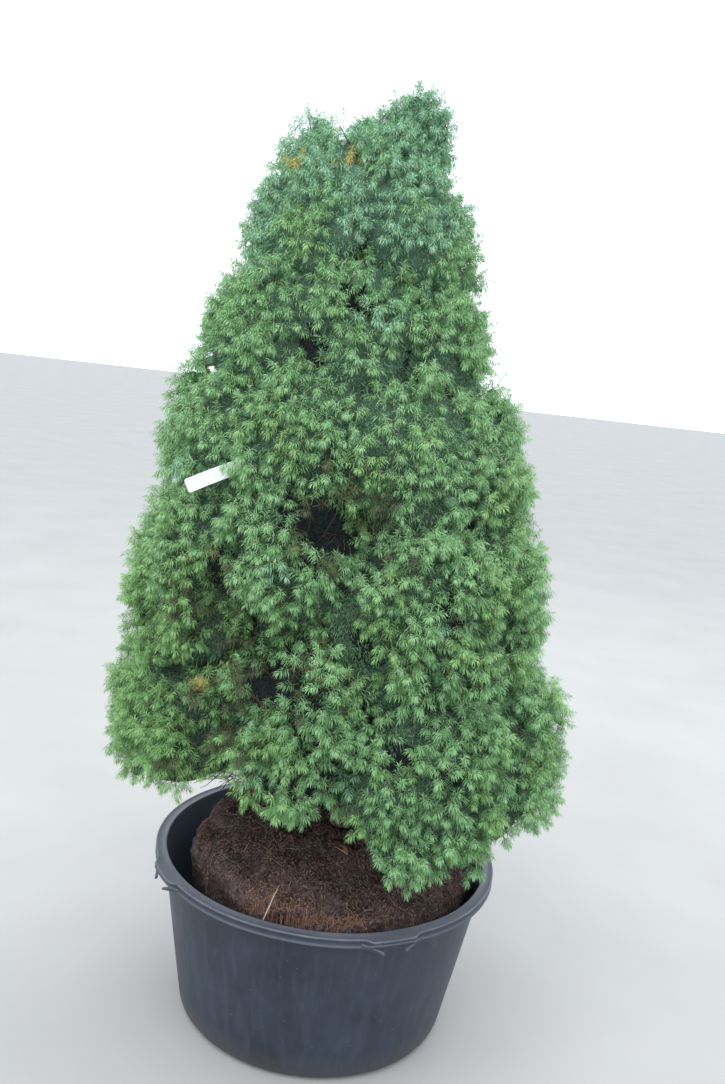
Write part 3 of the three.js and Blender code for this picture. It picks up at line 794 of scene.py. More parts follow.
@dataclass
class RootBall:
    """The lump of peat that the plant stands in, with fibres, straw and dry scraps on it."""

    middle: tuple[float, float] = (9, -7)
    plateau: float = 88
    least_height: float = 252
    high_side: float = 152
    sliced_side: float = -152
    seed: int = 41
    surface: BVHTree | None = None

    def lie_of(self, x: np.ndarray, y: np.ndarray) -> np.ndarray:
        """Returns the height of the peat's top at places, found on the built ball."""
        heights = []
        for place in zip(x.ravel(), y.ravel()):
            hit = self.surface.ray_cast(Vector((*place, 400)), Vector((0, 0, -1)))[0]
            heights.append(hit.z if hit and hit.z > 200 else self.least_height)
        return np.array(heights).reshape(x.shape)

    def build_ball(self) -> None:
        """Builds the ball: a spun lump, cut finely and pushed into crumbs and hollows."""
        bm = spun(BALL, 72)
        high = [e for e in bm.edges if min(v.co.z for v in e.verts) > 200]
        bmesh.ops.subdivide_edges(bm, edges=high, cuts=2, use_grid_fill=True)
        bmesh.ops.triangulate(bm, faces=bm.faces)
        for vert in bm.verts:
            radius = math.hypot(vert.co.x, vert.co.y)
            if vert.co.z < 100:
                continue
            if radius > self.plateau + 1:
                angle = math.atan2(vert.co.y, vert.co.x)
                wave = math.sin(angle * 3 + 1.1) + 0.8 * math.sin(angle * 5 + radius * 0.03)
                vert.co.z += 4 * wave + 15 * math.cos(angle - math.radians(self.high_side))
                uneven = 1 + 0.01 * math.sin(angle * 4 + 0.6)
                # One side of the ball is sliced off where it was lifted from its last pot.
                sliced = math.cos(angle - math.radians(self.sliced_side))
                uneven -= 0.05 * max(0.0, sliced) ** 6
                vert.co.x *= uneven
                vert.co.y *= uneven
            rough = noise.fractal(Vector(vert.co) / 26, 0.8, 2.1, 5)
            rough += noise.noise(Vector(vert.co) / 48) * 1.3
            way = Vector((vert.co.x, vert.co.y, 0)).normalized() * ease(radius, 150, 220)
            way.z = 1 - float(ease(radius, 190, 226)) * 0.7
            vert.co += way * (rough * 8.5 - 2.5)
        bmesh.ops.translate(bm, vec=(*self.middle, 0), verts=bm.verts)
        self.surface = BVHTree.FromBMesh(bm)
        self.lay(object_from_bmesh("peat_root_ball", bm), PeatFinish())

    @staticmethod
    def lay(piece: bpy.types.Object, finish: PeatFinish | WoodFinish) -> None:
        """Dresses a piece of the ball or one that lies on it."""
        dress(piece, finish.make(), ["root_ball"])

    def strands(
        self,
        name: str,
        finish: WoodFinish,
        count: int,
        length: tuple[float, float],
        width: float,
        ring: tuple[float, float],
        lift: float,
        azimuths: tuple[float, float] = (-180, 180),
    ) -> None:
        """Scatters bent strands, such as root fibres or straw, over the ball's top.

        Args:
            name: the piece's name
            finish: the strands' finish
            count: how many there are
            length: their least and greatest length
            width: their width
            ring: the least and greatest distance from the ball's middle
            lift: how far their ends stand up from the peat
            azimuths: the part of the ring that they lie on, in degrees
        """
        rng = np.random.default_rng(self.seed + count)
        radius = np.sqrt(rng.uniform(ring[0] ** 2, ring[1] ** 2, count))
        angle = np.radians(rng.uniform(*azimuths, count))
        heading = rng.uniform(0, TURN, count)
        size = rng.uniform(*length, count)[:, None]
        bend = rng.normal(0, 0.6, count)
        t = np.linspace(-0.5, 0.5, 4)
        turned = heading[:, None] + bend[:, None] * t
        x = (radius * np.cos(angle))[:, None] + np.cos(turned) * size * t
        y = (radius * np.sin(angle))[:, None] + np.sin(turned) * size * t
        pull = np.minimum(1, (ring[1] + 3) / np.maximum(np.hypot(x, y), 1))
        x, y = x * pull + self.middle[0], y * pull + self.middle[1]
        rise = lift * rng.uniform(-0.3, 1, (count, 1))
        rise = rise * np.abs(2 * t + rng.uniform(-0.6, 0.6, (count, 1)))
        arch = rng.uniform(0.4, 2.6, (count, 1)) * (1 - (2 * t) ** 2)
        path = np.stack([x, y, self.lie_of(x, y) + rise + arch], -1)
        self.ribbons(name, finish, path, width * rng.uniform(0.6, 1.3, count))

    def ribbons(self, name: str, finish: WoodFinish, path: np.ndarray, widths: np.ndarray) -> None:
        """Makes three-sided strands along paths and joins them in one piece.

        Args:
            name: the piece's name
            finish: the strands' finish
            path: each strand's places, one row each
            widths: each strand's width
        """
        taper = np.interp(np.linspace(0, 1, path.shape[1]), [0, 0.5, 1], [0.45, 1, 0.25])
        width = taper[None, :, None] * widths[:, None, None]
        self.lay(object_from_arrays(name, *strands_along(path, width, 3)), finish)

    def build(self) -> None:
        """Builds the ball and everything that lies on it."""
        self.build_ball()
        for row in LITTER:
            self.strands(*row)
        stalk = WoodFinish("pale_stalk", "#a99a86", "#cdbfa9")
        self.ribbons("pale_stalk", stalk, np.array([STALK], float), np.array([2.8]))
        self.build_leaf()

    def build_leaf(self) -> None:
        """Builds the curled scrap of dry leaf that lies by the trunk."""
        bm = bmesh.new()
        grid = bmesh.ops.create_grid(bm, x_segments=8, y_segments=4, size=0.5)["verts"]
        ahead, across = Vector((0.75, -0.66, 0.1)), Vector((0.66, 0.75, 0.1))
        for vert in grid:
            share = vert.co.x + 0.5
            side = vert.co.y * 13 * math.sin(math.pi * (0.12 + 0.8 * share))
            curl = Vector((0, 0, 5 * (2 * vert.co.y) ** 2 + 3 * math.sin(share * 4)))
            vert.co = Vector(LEAF) + ahead * (share - 0.5) * 27 + across * side + curl
        bmesh.ops.solidify(bm, geom=bm.faces, thickness=0.5)
        bmesh.ops.recalc_face_normals(bm, faces=bm.faces)
        leaf = object_from_bmesh("dry_leaf_scrap", bm)
        self.lay(leaf, WoodFinish("dry_leaf", "#8f6a4a", "#b8906a", 0.005))


# Trunk, boughs and masses of foliage


@dataclass
class Trunk:
    """The single stem, hidden by the foliage for most of its height."""

    route: tuple[tuple[float, float, float], ...] = (
        (30, 20, 290), (14, 12, 560), (-12, 4, 820), (-28, 0, 1050), (-12, 2, 1240), (12, 4, 1374),
    )
    radius: float = 23
    tip_radius: float = 3.4
    flare: float = 13
    foot: float = 308.3
    line: Line3 = field(init=False)

    def __post_init__(self) -> None:
        """Lays the trunk's middle line through its knots."""
        self.line = Line3.through(self.route)

    def radius_at(self, share: float, angle: float) -> float:
        """Returns the radius at a share of the length, with the root flare at the foot."""
        taper = self.radius + (self.tip_radius - self.radius) * share**0.8
        foot = max(0.0, 1 - share * 11)
        return taper + self.flare * foot * foot * (1 + 0.35 * math.sin(angle * 3))

    def share_at(self, height: float) -> float:
        """Returns the share of the length at which the trunk reaches a height."""
        return float(np.interp(height, self.line.points[:, 2], self.line.shares))

    def bark_radius(self, share: float, angle: float) -> float:
        """Returns the radius with the bark's ridges and scales on it."""
        place = Vector((math.cos(angle), math.sin(angle), share * 40)) * 2.2
        ridge = noise.noise(place) + 0.5 * noise.noise(place * 2.7)
        return self.radius_at(share, angle) * (1 + 0.045 * ridge)

    def build(self, finish: bpy.types.Material) -> None:
        """Builds and dresses the trunk."""
        bm = bmesh.new()
        limb_into(bm, self.line, self.bark_radius, 28, 150)
        whole = [*bm.verts, *bm.edges, *bm.faces]
        cut = bmesh.ops.bisect_plane(
            bm, geom=whole, plane_co=(0, 0, self.foot), plane_no=(0, 0, -1), clear_outer=True
        )["geom_cut"]
        bmesh.ops.holes_fill(bm, edges=[e for e in cut if isinstance(e, bmesh.types.BMEdge)])
        dress(object_from_bmesh("trunk_with_bark", bm), finish, ["trunk"])


@dataclass
class Limb:
    """A bough or a stem: a line with a thick and a thin end."""

    line: Line3
    thick: float
    thin: float

    def bark_radius(self, share: float, angle: float) -> float:
        """Returns the radius with swellings where side twigs leave the limb."""
        taper = self.thick + (self.thin - self.thick) * share
        knot = noise.noise(Vector((math.cos(angle), math.sin(angle), share * 9)) * 1.7)
        return taper * (1 + 0.09 * knot)

    def clears(self, points: np.ndarray, room: float) -> bool:
        """Returns whether every point stays a room away from the limb."""
        knots = self.line.at(np.linspace(0, 1, 9))
        return bool(gap(points[:, None], knots[None]).min() > self.thick + room)


@dataclass
class Clump:
    """A tuft of shoots at the end of a twig."""

    root: np.ndarray
    tip: np.ndarray
    size: float
    mass: int
    way: np.ndarray
    proud: float = 0.0


@dataclass
class Mass:
    """One mass of foliage: a dome on its own stem that keeps to its side of flat walls."""

    name: str
    bough: str | None
    middle: np.ndarray
    out: np.ndarray
    along: np.ndarray
    half: tuple[float, float, float]
    dome: float
    is_leader: bool
    root_drop: float
    up: np.ndarray = field(init=False)
    weight: float = field(init=False)
    scale: float = field(init=False)
    side: float = field(init=False)
    stem: Limb | None = None
    near: list[Limb] = field(default_factory=list)
    normals: np.ndarray | None = None
    offsets: np.ndarray | None = None

    CORE_OUT = 0.77
    CORE_SIDE = 1.06
    LEADER_SIDE = 0.86
    CELL_GAP = 2.4
    NEIGHBOUR_REACH = 420

    def __post_init__(self) -> None:
        """Works out the third axis and the mass's weight against its neighbours."""
        self.up = np.cross(self.out, self.along)
        self.weight = (self.half[1] + self.half[2]) / 2
        self.scale = min(1.0, max(0.7, self.weight / 128))
        self.side = self.LEADER_SIDE if self.is_leader else self.CORE_SIDE

    def place(self, out: float, along: float, up: float) -> np.ndarray:
        """Returns a place from the mass's own axes."""
        return self.middle + self.out * out + self.along * along + self.up * up

    def on_core(self, polar: float, turn: float, bump: float = 1) -> np.ndarray:
        """Returns a place on the core, from an angle off its axis and a turn round it."""
        spread = math.sin(polar) * self.side * bump
        return self.place(
            math.cos(polar) * self.half[0] * self.CORE_OUT * bump,
            spread * math.cos(turn) * self.half[1],
            spread * math.sin(turn) * self.half[2],
        )

    def twig_root(self, polar: float) -> np.ndarray:
        """Returns where the twig to an angle off the mass's axis leaves the stem."""
        return self.place((math.cos(polar) * 0.3 - 0.2) * self.half[0], 0, 0)

    def area(self) -> float:
        """Returns about the area of the mass's outside."""
        out, along, up = self.half
        return (TURN / 3) * (out * along + along * up + up * out)

    def meet(self, others: Sequence["Mass"]) -> None:
        """Sets the flat walls between this mass and its neighbours."""
        normals, offsets = [], []
        for other in others:
            way = other.middle - self.middle
            distance = float(np.linalg.norm(way))
            if other is self or distance > self.NEIGHBOUR_REACH:
                continue
            share = (distance**2 + self.weight**2 - other.weight**2) / (2 * distance)
            normals.append(way / distance)
            offsets.append(normals[-1] @ self.middle + share - self.CELL_GAP / 2)
        self.normals, self.offsets = np.array(normals), np.array(offsets)

    def holds(self, points: np.ndarray) -> bool:
        """Returns whether every point is on the mass's side of its walls."""
        return bool((points @ self.normals.T <= self.offsets).all())

    def buries(self, point: np.ndarray) -> bool:
        """Returns whether a point lies inside the mass's core."""
        way = point - self.middle
        out = way @ self.out / (self.half[0] * self.CORE_OUT)
        along = way @ self.along / (self.half[1] * self.side)
        up = way @ self.up / (self.half[2] * self.side)
        return out**2 + along**2 + up**2 < 1 and self.holds(point[None])

    def drawn_in(self, point: np.ndarray, margin: float) -> np.ndarray:
        """Returns the point, drawn towards the middle as far as the walls ask."""
        way = point - self.middle
        reach = self.normals @ way
        room = self.offsets - margin - self.normals @ self.middle
        beyond = reach > room
        share = float((room[beyond] / reach[beyond]).min()) if beyond.any() else 1.0
        return self.middle + way * max(0.05, share)


@dataclass(frozen=True)
class Tier:
    """A ring of masses: its height, the masses' sizes and where each one points."""

    name: str
    height: float
    tall: float
    depth: float
    tilt: float
    drop: float
    on_bough: bool
    masses: tuple[tuple[float, ...], ...]


# Each mass is (azimuth, rise above the tier, width, own height where it differs).
TIERS = (
    Tier(
        "foot", 458, 326, 210, -6, 58, True,
        (
            (-147, 42, 292, 244), (-103, 104, 220, 292), (-62, 6, 270), (-19, 18, 275),
            (29, -10, 285), (77, -14, 285), (124, -14, 285), (170, 2, 270),
        ),
    ),
    Tier(
        "low", 708, 302, 200, 6, 100, True,
        (
            (-146, 22, 268), (-104, 78, 192), (-63, 6, 262), (-17, 10, 275),
            (37, 0, 285), (93, -4, 290), (154, 4, 280),
        ),
    ),
    Tier(
        "middle", 912, 256, 185, 12, 96, False,
        (
            (-149, 4, 228), (-108, 26, 215), (-62, 10, 235), (-4, 0, 262),
            (66, 2, 275), (146, 2, 265),
        ),
    ),
    Tier(
        "upper", 1083, 226, 166, 18, 88, False,
        ((-134, 0, 205), (-82, 4, 200), (-18, 4, 225), (66, 2, 235), (152, 0, 228)),
    ),
    Tier(
        "high", 1238, 200, 146, 24, 78, False,
        ((-122, 0, 182), (-46, 0, 188), (50, 6, 192), (150, 6, 188)),
    ),
)
# Each leader is (x, y, height, half width, half height).
LEADERS = {
    "leader_left": (-122, 4, 1328, 50, 72),
    "leader_middle": (-50, -14, 1340, 52, 76),
    "leader_right": (20, 6, 1372, 50, 91),
}
# The crown's outline from the front as (height, middle, half width).
OUTLINE = (
    (300, -4, 335), (400, -4, 366), (500, -6, 362), (600, -6, 352), (700, -26, 334),
    (800, -33, 314), (900, -34, 290), (1000, -52, 252), (1100, -56, 221), (1200, -50, 191),
    (1300, -47, 152), (1380, -43, 112),
)
# The crown's lower edge as (azimuth, height). It is ragged, and lowest at the right of the front.
SKIRT = (
    (-170, 405), (-145, 408), (-128, 440), (-120, 468), (-112, 452), (-107, 440), (-103, 425),
    (-98, 404), (-95, 452), (-90, 458), (-86, 450), (-82, 430), (-78, 400), (-73, 370),
    (-60, 342), (-49, 364), (-36, 378), (-16, 398), (0, 400),
    (30, 382), (60, 398), (90, 376), (120, 402), (150, 388),
)
# The dark hollows between the bunches in the front of the crown: (x, y, z, radius).
HOLLOWS = np.array((
    (-27, -292, 847, 54), (8, -292, 853, 46), (38, -285, 884, 26), (36, -321, 689, 34),
    (-110, -316, 648, 56), (-140, -298, 683, 46), (-178, -296, 564, 46), (-194, -262, 738, 44),
    (-70, -311, 750, 28), (-35, -197, 1145, 26), (91, -335, 544, 28), (176, -300, 518, 26),
    (143, -307, 599, 26), (-33, -347, 541, 26), (-190, -268, 700, 38), (-178, -292, 530, 44),
    (-166, -304, 498, 40), (-54, -318, 516, 34), (-199, -237, 860, 26), (59, -191, 1066, 26),
    (9, -177, 1182, 25), (-99, -215, 1072, 25), (198, -274, 605, 25), (146, -262, 745, 26),
), float)
# Where shoots have yellowed or died back: (x, y, z, radius).
DRY_PLACES = ((-64, -96, 1333, 25), (-134, -84, 1321, 22), (-178, -272, 630, 26))
# Tufts that no rule of the masses gives: between the leaders, over the label's inner end, at the
# right shoulder and beside the left leader, as (x, y, z, size).
EXTRA_TUFTS = (
    (-52, -20, 1411, 0.8), (-38, -20, 1420, 0.76), (-23, -18, 1428, 0.74), (-42, -26, 1394, 0.8),
    (-27, -24, 1406, 0.76), (-13, -20, 1420, 0.72), (-24, -28, 1390, 0.8), (-8, -24, 1402, 0.72),
    (-62, 12, 1392, 0.8), (-42, 18, 1402, 0.8), (-28, 22, 1416, 0.76), (-13, 24, 1428, 0.74),
    (-186, -226, 896, 0.8), (-178, -222, 878, 0.75), (160, -6, 1041, 0.85), (150, 22, 1036, 0.8),
    (152, -34, 1038, 0.8), (-127, -26, 1399, 0.8), (-112, -30, 1386, 0.8), (-100, 6, 1378, 0.8),
)
# Where the top dips between the left leader and the next, and no tuft ends: (x, y, z, radius).
DIPS = ((-84, -6, 1414, 36), (-80, 34, 1410, 30), (-85, -46, 1412, 24), (-118, -63, 1399, 18))


class Family(IntEnum):
    """The casts of green that parts of the crown have, and the tans of its dry and old shoots."""

    WARM = 0
    PLAIN = 1
    COOL = 2
    DRY = 3
    OLD = 4


class Depth(IntEnum):
    """How dark a spray is painted: in painted shade low in a tuft, half lit amid it, or in painted
    light at its tips.
    """

    DEEP = 0
    MIDDLE = 1
    TIP = 2


# The greens of each family by depth of painted shade, and those of the inner needles from the
# crown's foot upwards, painted lighter higher up.
NEEDLE_GREENS = {
    Family.WARM: ("#739c62", "#82ab6e", "#91b77b"),
    Family.PLAIN: ("#749f6d", "#83ad7a", "#90b984"),
    Family.COOL: ("#76a47f", "#85b18c", "#94bd9b"),
    Family.DRY: ("#8a7a46", "#a89a58", "#bcae66"),
    Family.OLD: ("#3f4634", "#555c42", "#6e7650"),
}
INNER_GREENS = ("#577b5a", "#6e956c", "#89b28d")


def places_of(rows: Sequence[Sequence[float]]) -> list[tuple[np.ndarray, float]]:
    """Returns each row of (x, y, z, size) as a place and a size."""
    return [(np.array(row[:3], float), row[3]) for row in rows]


def in_hollow(point: np.ndarray, reach: float = 1) -> bool:
    """Returns whether a point is in a hollow whose radius is multiplied by reach."""
    return bool((gap(HOLLOWS[:, :3], point) < HOLLOWS[:, 3] * reach).any())


def outline_at(height: float) -> tuple[float, float]:
    """Returns the crown's middle in x, and its half width, at a height."""
    heights, middles, widths = np.array(OUTLINE, float).T
    return float(np.interp(height, heights, middles)), float(np.interp(height, heights, widths))


def skirt_at(point: np.ndarray) -> float | np.ndarray:
    """Returns the height of the crown's lower edge on the side where a point is."""
    azimuths, heights = np.array(SKIRT, float).T
    azimuth = np.degrees(np.arctan2(point[..., 1], point[..., 0]))
    return np.interp(azimuth, azimuths, heights, period=360)


def spiral_on(row: Seeded, count: int, dome: float) -> Iterator[tuple[float, float]]:
    """Yields evenly spread places on a dome as the angle off its axis and the turn round it."""
    phase = row.draw() * TURN
    for k in range(count):
        polar = math.acos(1 - ((k + 0.5) / count) * (1 - math.cos(dome)))
        yield polar, phase + k * GOLDEN_TURN + (row.draw() - 0.5) * 0.3


def sagging(
    starts: np.ndarray, ends: np.ndarray, rng: np.random.Generator, sag: float
) -> np.ndarray:
    """Returns five places on the way from each start to its end, which bends by chance."""
    t = np.linspace(0, 1, 5)[None, :, None]
    bend = rng.normal(0, sag, (len(starts), 1, 3)) * np.sin(t * math.pi)
    return starts[:, None] * (1 - t) + ends[:, None] * t + bend


@dataclass
class Crown:
    """The whole crown: its masses, their twigs and shoots, and every needle."""

    trunk: Trunk
    seed: int = 7321
    crown_floor: float = 312
    crown_top: float = 1450
    pot_reach: float = 291
    limb_room: float = 4
    limb_reach: float = 330
    highest_root: float = 1290
    mass_dome: float = 1.75
    leader_dome: float = 2.2
    bough_radii: tuple[float, float] = (9.5, 6)
    spur_radii: tuple[float, float] = (4.4, 3.4)
    stem_radii: tuple[float, float] = (7, 4)
    spray_proud: float = 35
    spray_tries: tuple[float, ...] = (1, 0.88, 0.76, 0.64)
    area_per_spray: float = 6300
    fine_area: float = 300
    fine_spacing: float = 33
    least_kept: float = 0.62
    valley_fill: float = 120
    bunch_size: float = 52
    cast_size: float = 85
    deep_hollow: float = 35
    slim_height: float = 985
    slim_reach: float = 70
    slim_by: float = 26
    ray_step: float = 15
    ray_start: float = 600
    above: float = 1700
    no_limit: float = 1e9
    leader_foot: float = 1310
    seam_depth: float = 30
    seam_spacing: float = 27
    clump_radius: float = 30
    shoots_per_clump: int = 7
    needles_per_shoot: int = 44
    needles_per_piece: int = 98000
    needle_length: float = 13.5
    needle_width: float = 1.2
    stubble_each: int = 12
    bare_room: float = 15
    stubble_spread: float = 9
    lighter_from: tuple[float, float] = (680, 1060)
    depth_from: tuple[float, float] = (0.1, 0.75)
    skirt_twigs: int = 380
    masses: list[Mass] = field(default_factory=list)
    boughs: dict[str, Limb] = field(default_factory=dict)
    clumps: list[Clump] = field(default_factory=list)
    cores: tuple[np.ndarray, np.ndarray] | None = None
    bare: list[tuple[np.ndarray, np.ndarray, np.ndarray, int]] = field(default_factory=list)

    # Masses and their limbs

    def lay_out(self) -> None:
        """Sets out every mass, its walls and its limbs."""
        for tier in TIERS:
            for index, (azimuth, rise, width, *tall) in enumerate(tier.masses):
                height = tier.height + rise
                centre, half_width = outline_at(height)
                flat, tilt = around(math.radians(azimuth)), math.radians(tier.tilt)
                self.masses.append(
                    Mass(
                        name=f"{tier.name}_{index + 1}",
                        bough=f"bough_{tier.name}_{index + 1}" if tier.on_bough else None,
                        middle=np.array([centre, 0, height]) + flat * (half_width - tier.depth / 2),
                        out=flat * math.cos(tilt) + UP * math.sin(tilt),
                        along=np.cross(UP, flat),
                        half=(tier.depth / 2, width / 2, (tall[0] if tall else tier.tall) / 2),
                        dome=self.mass_dome,
                        is_leader=False,
                        root_drop=tier.drop + 26 * (index % 3),
                    )
                )
        for name, (x, y, height, half_width, half_height) in LEADERS.items():
            self.masses.append(
                Mass(
                    name=name,
                    bough=None,
                    middle=np.array([x, y, height], float),
                    out=UP.copy(),
                    along=np.array([0.0, 1.0, 0.0]),
                    half=(half_height, half_width, half_width),
                    dome=self.leader_dome,
                    is_leader=True,
                    root_drop=half_height * 1.6,
                )
            )
        for mass in self.masses:
            mass.meet(self.masses)
            self.lay_limbs(mass)
        limbs = [*self.boughs.values(), *[mass.stem for mass in self.masses]]
        for mass in self.masses:
            mass.near = [
                limb
                for limb in limbs
                if limb is not mass.stem
                and gap(limb.line.points[-1], mass.middle) < self.limb_reach
            ]

    def lay_limbs(self, mass: Mass) -> None:
        """Lays the bough and the stem that carry a mass."""
        inner = mass.place(-mass.half[0] * 0.86, 0, -mass.half[2] * 0.12)
        height = min(mass.middle[2] - mass.root_drop, self.highest_root)
        foot = self.trunk.line.at(self.trunk.share_at(height))
        if mass.bough:
            bend = (foot + inner) / 2 - UP * 14
            bough = Limb(Line3.bent(foot, bend, inner), *self.bough_radii)
            self.boughs[mass.bough] = bough
            way = bough.line.way(1)
            ends = np.array([inner - way * 6, inner + way * mass.half[0]])
            mass.stem = Limb(Line3(ends), *self.spur_radii)
        else:
            bend = foot + (inner - foot) * 0.55 - UP * 8
            mass.stem = Limb(Line3.bent(foot, bend, mass.middle), *self.stem_radii)

    def foliage(self, owners: Iterable[int] | None = None) -> list[str]:
        """Returns the CAD names of all the masses, or of those that own something."""
        chosen = range(len(self.masses)) if owners is None else np.unique(owners)
        return [f"foliage_{self.masses[int(i)].name}" for i in chosen]

    @property
    def tips(self) -> np.ndarray:
        """Returns where every tuft ends."""
        return np.array([c.tip for c in self.clumps])

    # Room for twigs

    def is_open(self, points: np.ndarray) -> bool:
        """Returns whether every point is off the pot, the root ball and the trunk."""
        outside = np.hypot(points[:, 0], points[:, 1]) > self.pot_reach
        if not ((points[:, 2] > self.crown_floor) | outside).all():
            return False
        shares = [self.trunk.share_at(z) for z in points[:, 2]]
        axis = self.trunk.line.at(np.array(shares))
        radii = np.array([self.trunk.radius_at(share, 0) for share in shares])
        return bool((gap(points, axis) > radii + self.limb_room).all())

    def is_clear(self, mass: Mass, points: np.ndarray) -> bool:
        """Returns whether points keep to a mass's space, in the open and off other limbs."""
        if not mass.holds(points) or not self.is_open(points):
            return False
        return all(limb.clears(points, self.limb_room) for limb in mass.near)

    @staticmethod
    def spray_corners(
        root: np.ndarray, tip: np.ndarray, size: float, roll: float, tips: int
    ) -> np.ndarray:
        """Returns the corners of a coarse spray, by which the rule tests its room."""
        way = unit(tip - root)
        k = np.cross(np.cross(UP, way), np.eye(3)).T
        spin = np.eye(3) + k + k @ k / max(1 + UP @ way, 1e-6)
        rows = [np.zeros(3), -UP * np.linalg.norm(tip - root)]
        for j in range(tips * 2):
            reach, back = (35, 16) if j % 2 == 0 else (13, 30)
            rows.append((around(j * TURN / (tips * 2) + roll) * reach - UP * back) * size)
        return np.array(rows) @ spin.T + tip

    # Twigs and tufts

    def grow_twigs(self) -> None:
        """Grows the coarse twigs by the part's own rule, then finer ones between them."""
        for index, mass in enumerate(self.masses):
            self.grow_coarse_twigs(index, mass)
        coarse = len(self.clumps)
        for index, mass in enumerate(self.masses):
            self.grow_fine_twigs(index, mass)
        fine = len(self.clumps)
        self.gather_in_bunches()
        middles = np.array([mass.middle for mass in self.masses])
        for tip, size in places_of(EXTRA_TUFTS):
            index = int(gap(middles, tip).argmin())
            root = self.masses[index].middle
            self.clumps.append(Clump(root, tip, size, index, unit(unit(tip - root) + UP * 0.3)))
        self.cover_cores()
        for dip, room in places_of(DIPS):
            self.clumps = [c for c in self.clumps if gap(c.tip, dip) > room]
        seams = len(self.clumps) - fine
        LOG.info("%d coarse, %d finer and %d seam tufts", coarse, fine - coarse, seams)

    def grow_coarse_twigs(self, index: int, mass: Mass) -> None:
        """Grows the coarse twigs of a mass by the part's own rule."""
        row = Seeded(self.seed + index * 101)
        row.draw(), row.draw()  # the core's two waves
        count = max(9, round(mass.area() / self.area_per_spray))
        for k, (polar, turn) in enumerate(spiral_on(row, count, mass.dome)):
            proud = self.spray_proud * (0.7 + row.draw() * 0.6)
            size = 0.86 + row.draw() * 0.28
            roll = row.draw() * TURN
            for share in self.spray_tries:
                root = mass.twig_root(polar * share)
                foot = mass.on_core(polar * share, turn)
                tip = foot + unit(foot - root) * proud
                corners = self.spray_corners(root, tip, size * mass.scale, roll, (3, 2, 2)[k % 3])
                if self.is_clear(mass, corners):
                    if tip[2] > skirt_at(tip):
                        way = unit(tip - root)
                        self.clumps.append(Clump(root, tip, size * 1.08, index, way))
                    break

    def grow_fine_twigs(self, index: int, mass: Mass) -> None:
        """Grows the finer twigs of a mass wherever no other tuft is near, up to its walls."""
        row = Seeded(self.seed * 3 + index * 57)
        others = [other for other in self.masses if other is not mass]
        taken = self.tips
        count = round(mass.area() / self.fine_area)
        for polar, turn in spiral_on(row, count, mass.dome + 0.35):
            proud = self.spray_proud * (0.3 + row.draw() * 0.6)
            size = 0.78 + row.draw() * 0.34
            root, bare = mass.twig_root(polar), mass.on_core(polar, turn)
            foot = mass.drawn_in(bare, 5)
            kept = gap(foot, mass.middle) / gap(bare, mass.middle)
            if kept < self.least_kept:
                continue
            # Towards a seam between two masses the twigs bend round and grow straight out.
            way = unit(unit(foot - root) * kept**2 + mass.out * (1 - kept) * 3)
            tip = foot + way * (proud + self.valley_fill * (1 - kept))
            behind = tip - way * 20
            if in_hollow(tip) or tip[2] < skirt_at(tip) + 8:
                continue
            if gap(taken, tip).min() < self.fine_spacing:
                continue
            if any(other.buries(tip) or other.buries(behind) for other in others):
                continue
            if self.is_open(np.array([tip, behind])):
                self.clumps.append(Clump(root, tip, size, index, way))
                taken = np.concatenate([taken, tip[None]])

    def gather_in_bunches(self) -> None:
        """Sets the tufts proud or back in bunches, and brings those in the seams further out."""
        for clump in self.clumps:
            centre, half_width = outline_at(clump.tip[2])
            middle = np.array([centre, 0, clump.tip[2]])
            radius = float(gap(clump.tip, middle))
            flat = (clump.tip - middle) / radius
            short = max(0.0, half_width - self.seam_depth - radius)
            if in_hollow(clump.tip, 1.7):
                short = 0.0
            push = min(48.0, short * 0.75) * max(0.0, float(clump.way @ flat))
            clump.proud = float(noise.noise(Vector(clump.tip) / self.bunch_size))
            if self.masses[clump.mass].is_leader:
                clump.tip = clump.tip - clump.way * 8
                continue
            clump.tip = clump.tip + clump.way * max(-14.0, clump.proud * 48 - 5) + flat * push
            # The crown is a little slimmer at the right of this height than the masses are.
            at_slim = max(0.0, 1 - abs(clump.tip[2] - self.slim_height) / self.slim_reach)
            slack = 4 - self.slim_by * at_slim * max(0.0, flat[0])
            beyond = float((clump.tip - middle)[:2] @ flat[:2]) - half_width - slack
            clump.tip = clump.tip - flat * max(0.0, beyond)

    def outside_rays(self) -> list[tuple[np.ndarray, np.ndarray, float]]:
        """Returns rays into the crown from all round and from above: start, way, envelope."""
        row = Seeded(self.seed * 5)
        rays = []
        for height in np.arange(self.crown_floor + 12, self.crown_top, self.ray_step):
            centre, half_width = outline_at(height)
            turns = max(12, round(TURN * half_width / self.ray_step))
            for k in range(turns):
                flat = around((k + row.draw()) * TURN / turns)
                start = np.array([centre, 0, height + (row.draw() - 0.5) * self.ray_step])
                start += flat * half_width * 0.8
                far = self.ray_start - half_width * 0.2 + self.seam_depth
                for lean in (0, -0.75, 0.75)[: 3 if k % 2 else 1]:
                    way = unit(flat + np.cross(UP, flat) * lean)
                    envelope = self.no_limit if lean else far
                    rays.append((start + way * self.ray_start, -way, envelope))
        steps = np.arange(-380, 380, self.ray_step)
        for x in steps:
            for y in steps:
                shift = np.array([row.draw(), row.draw()]) * self.ray_step
                start = np.array([x + shift[0], y + shift[1], self.above])
                rays.append((start, -UP, self.no_limit))
        return rays

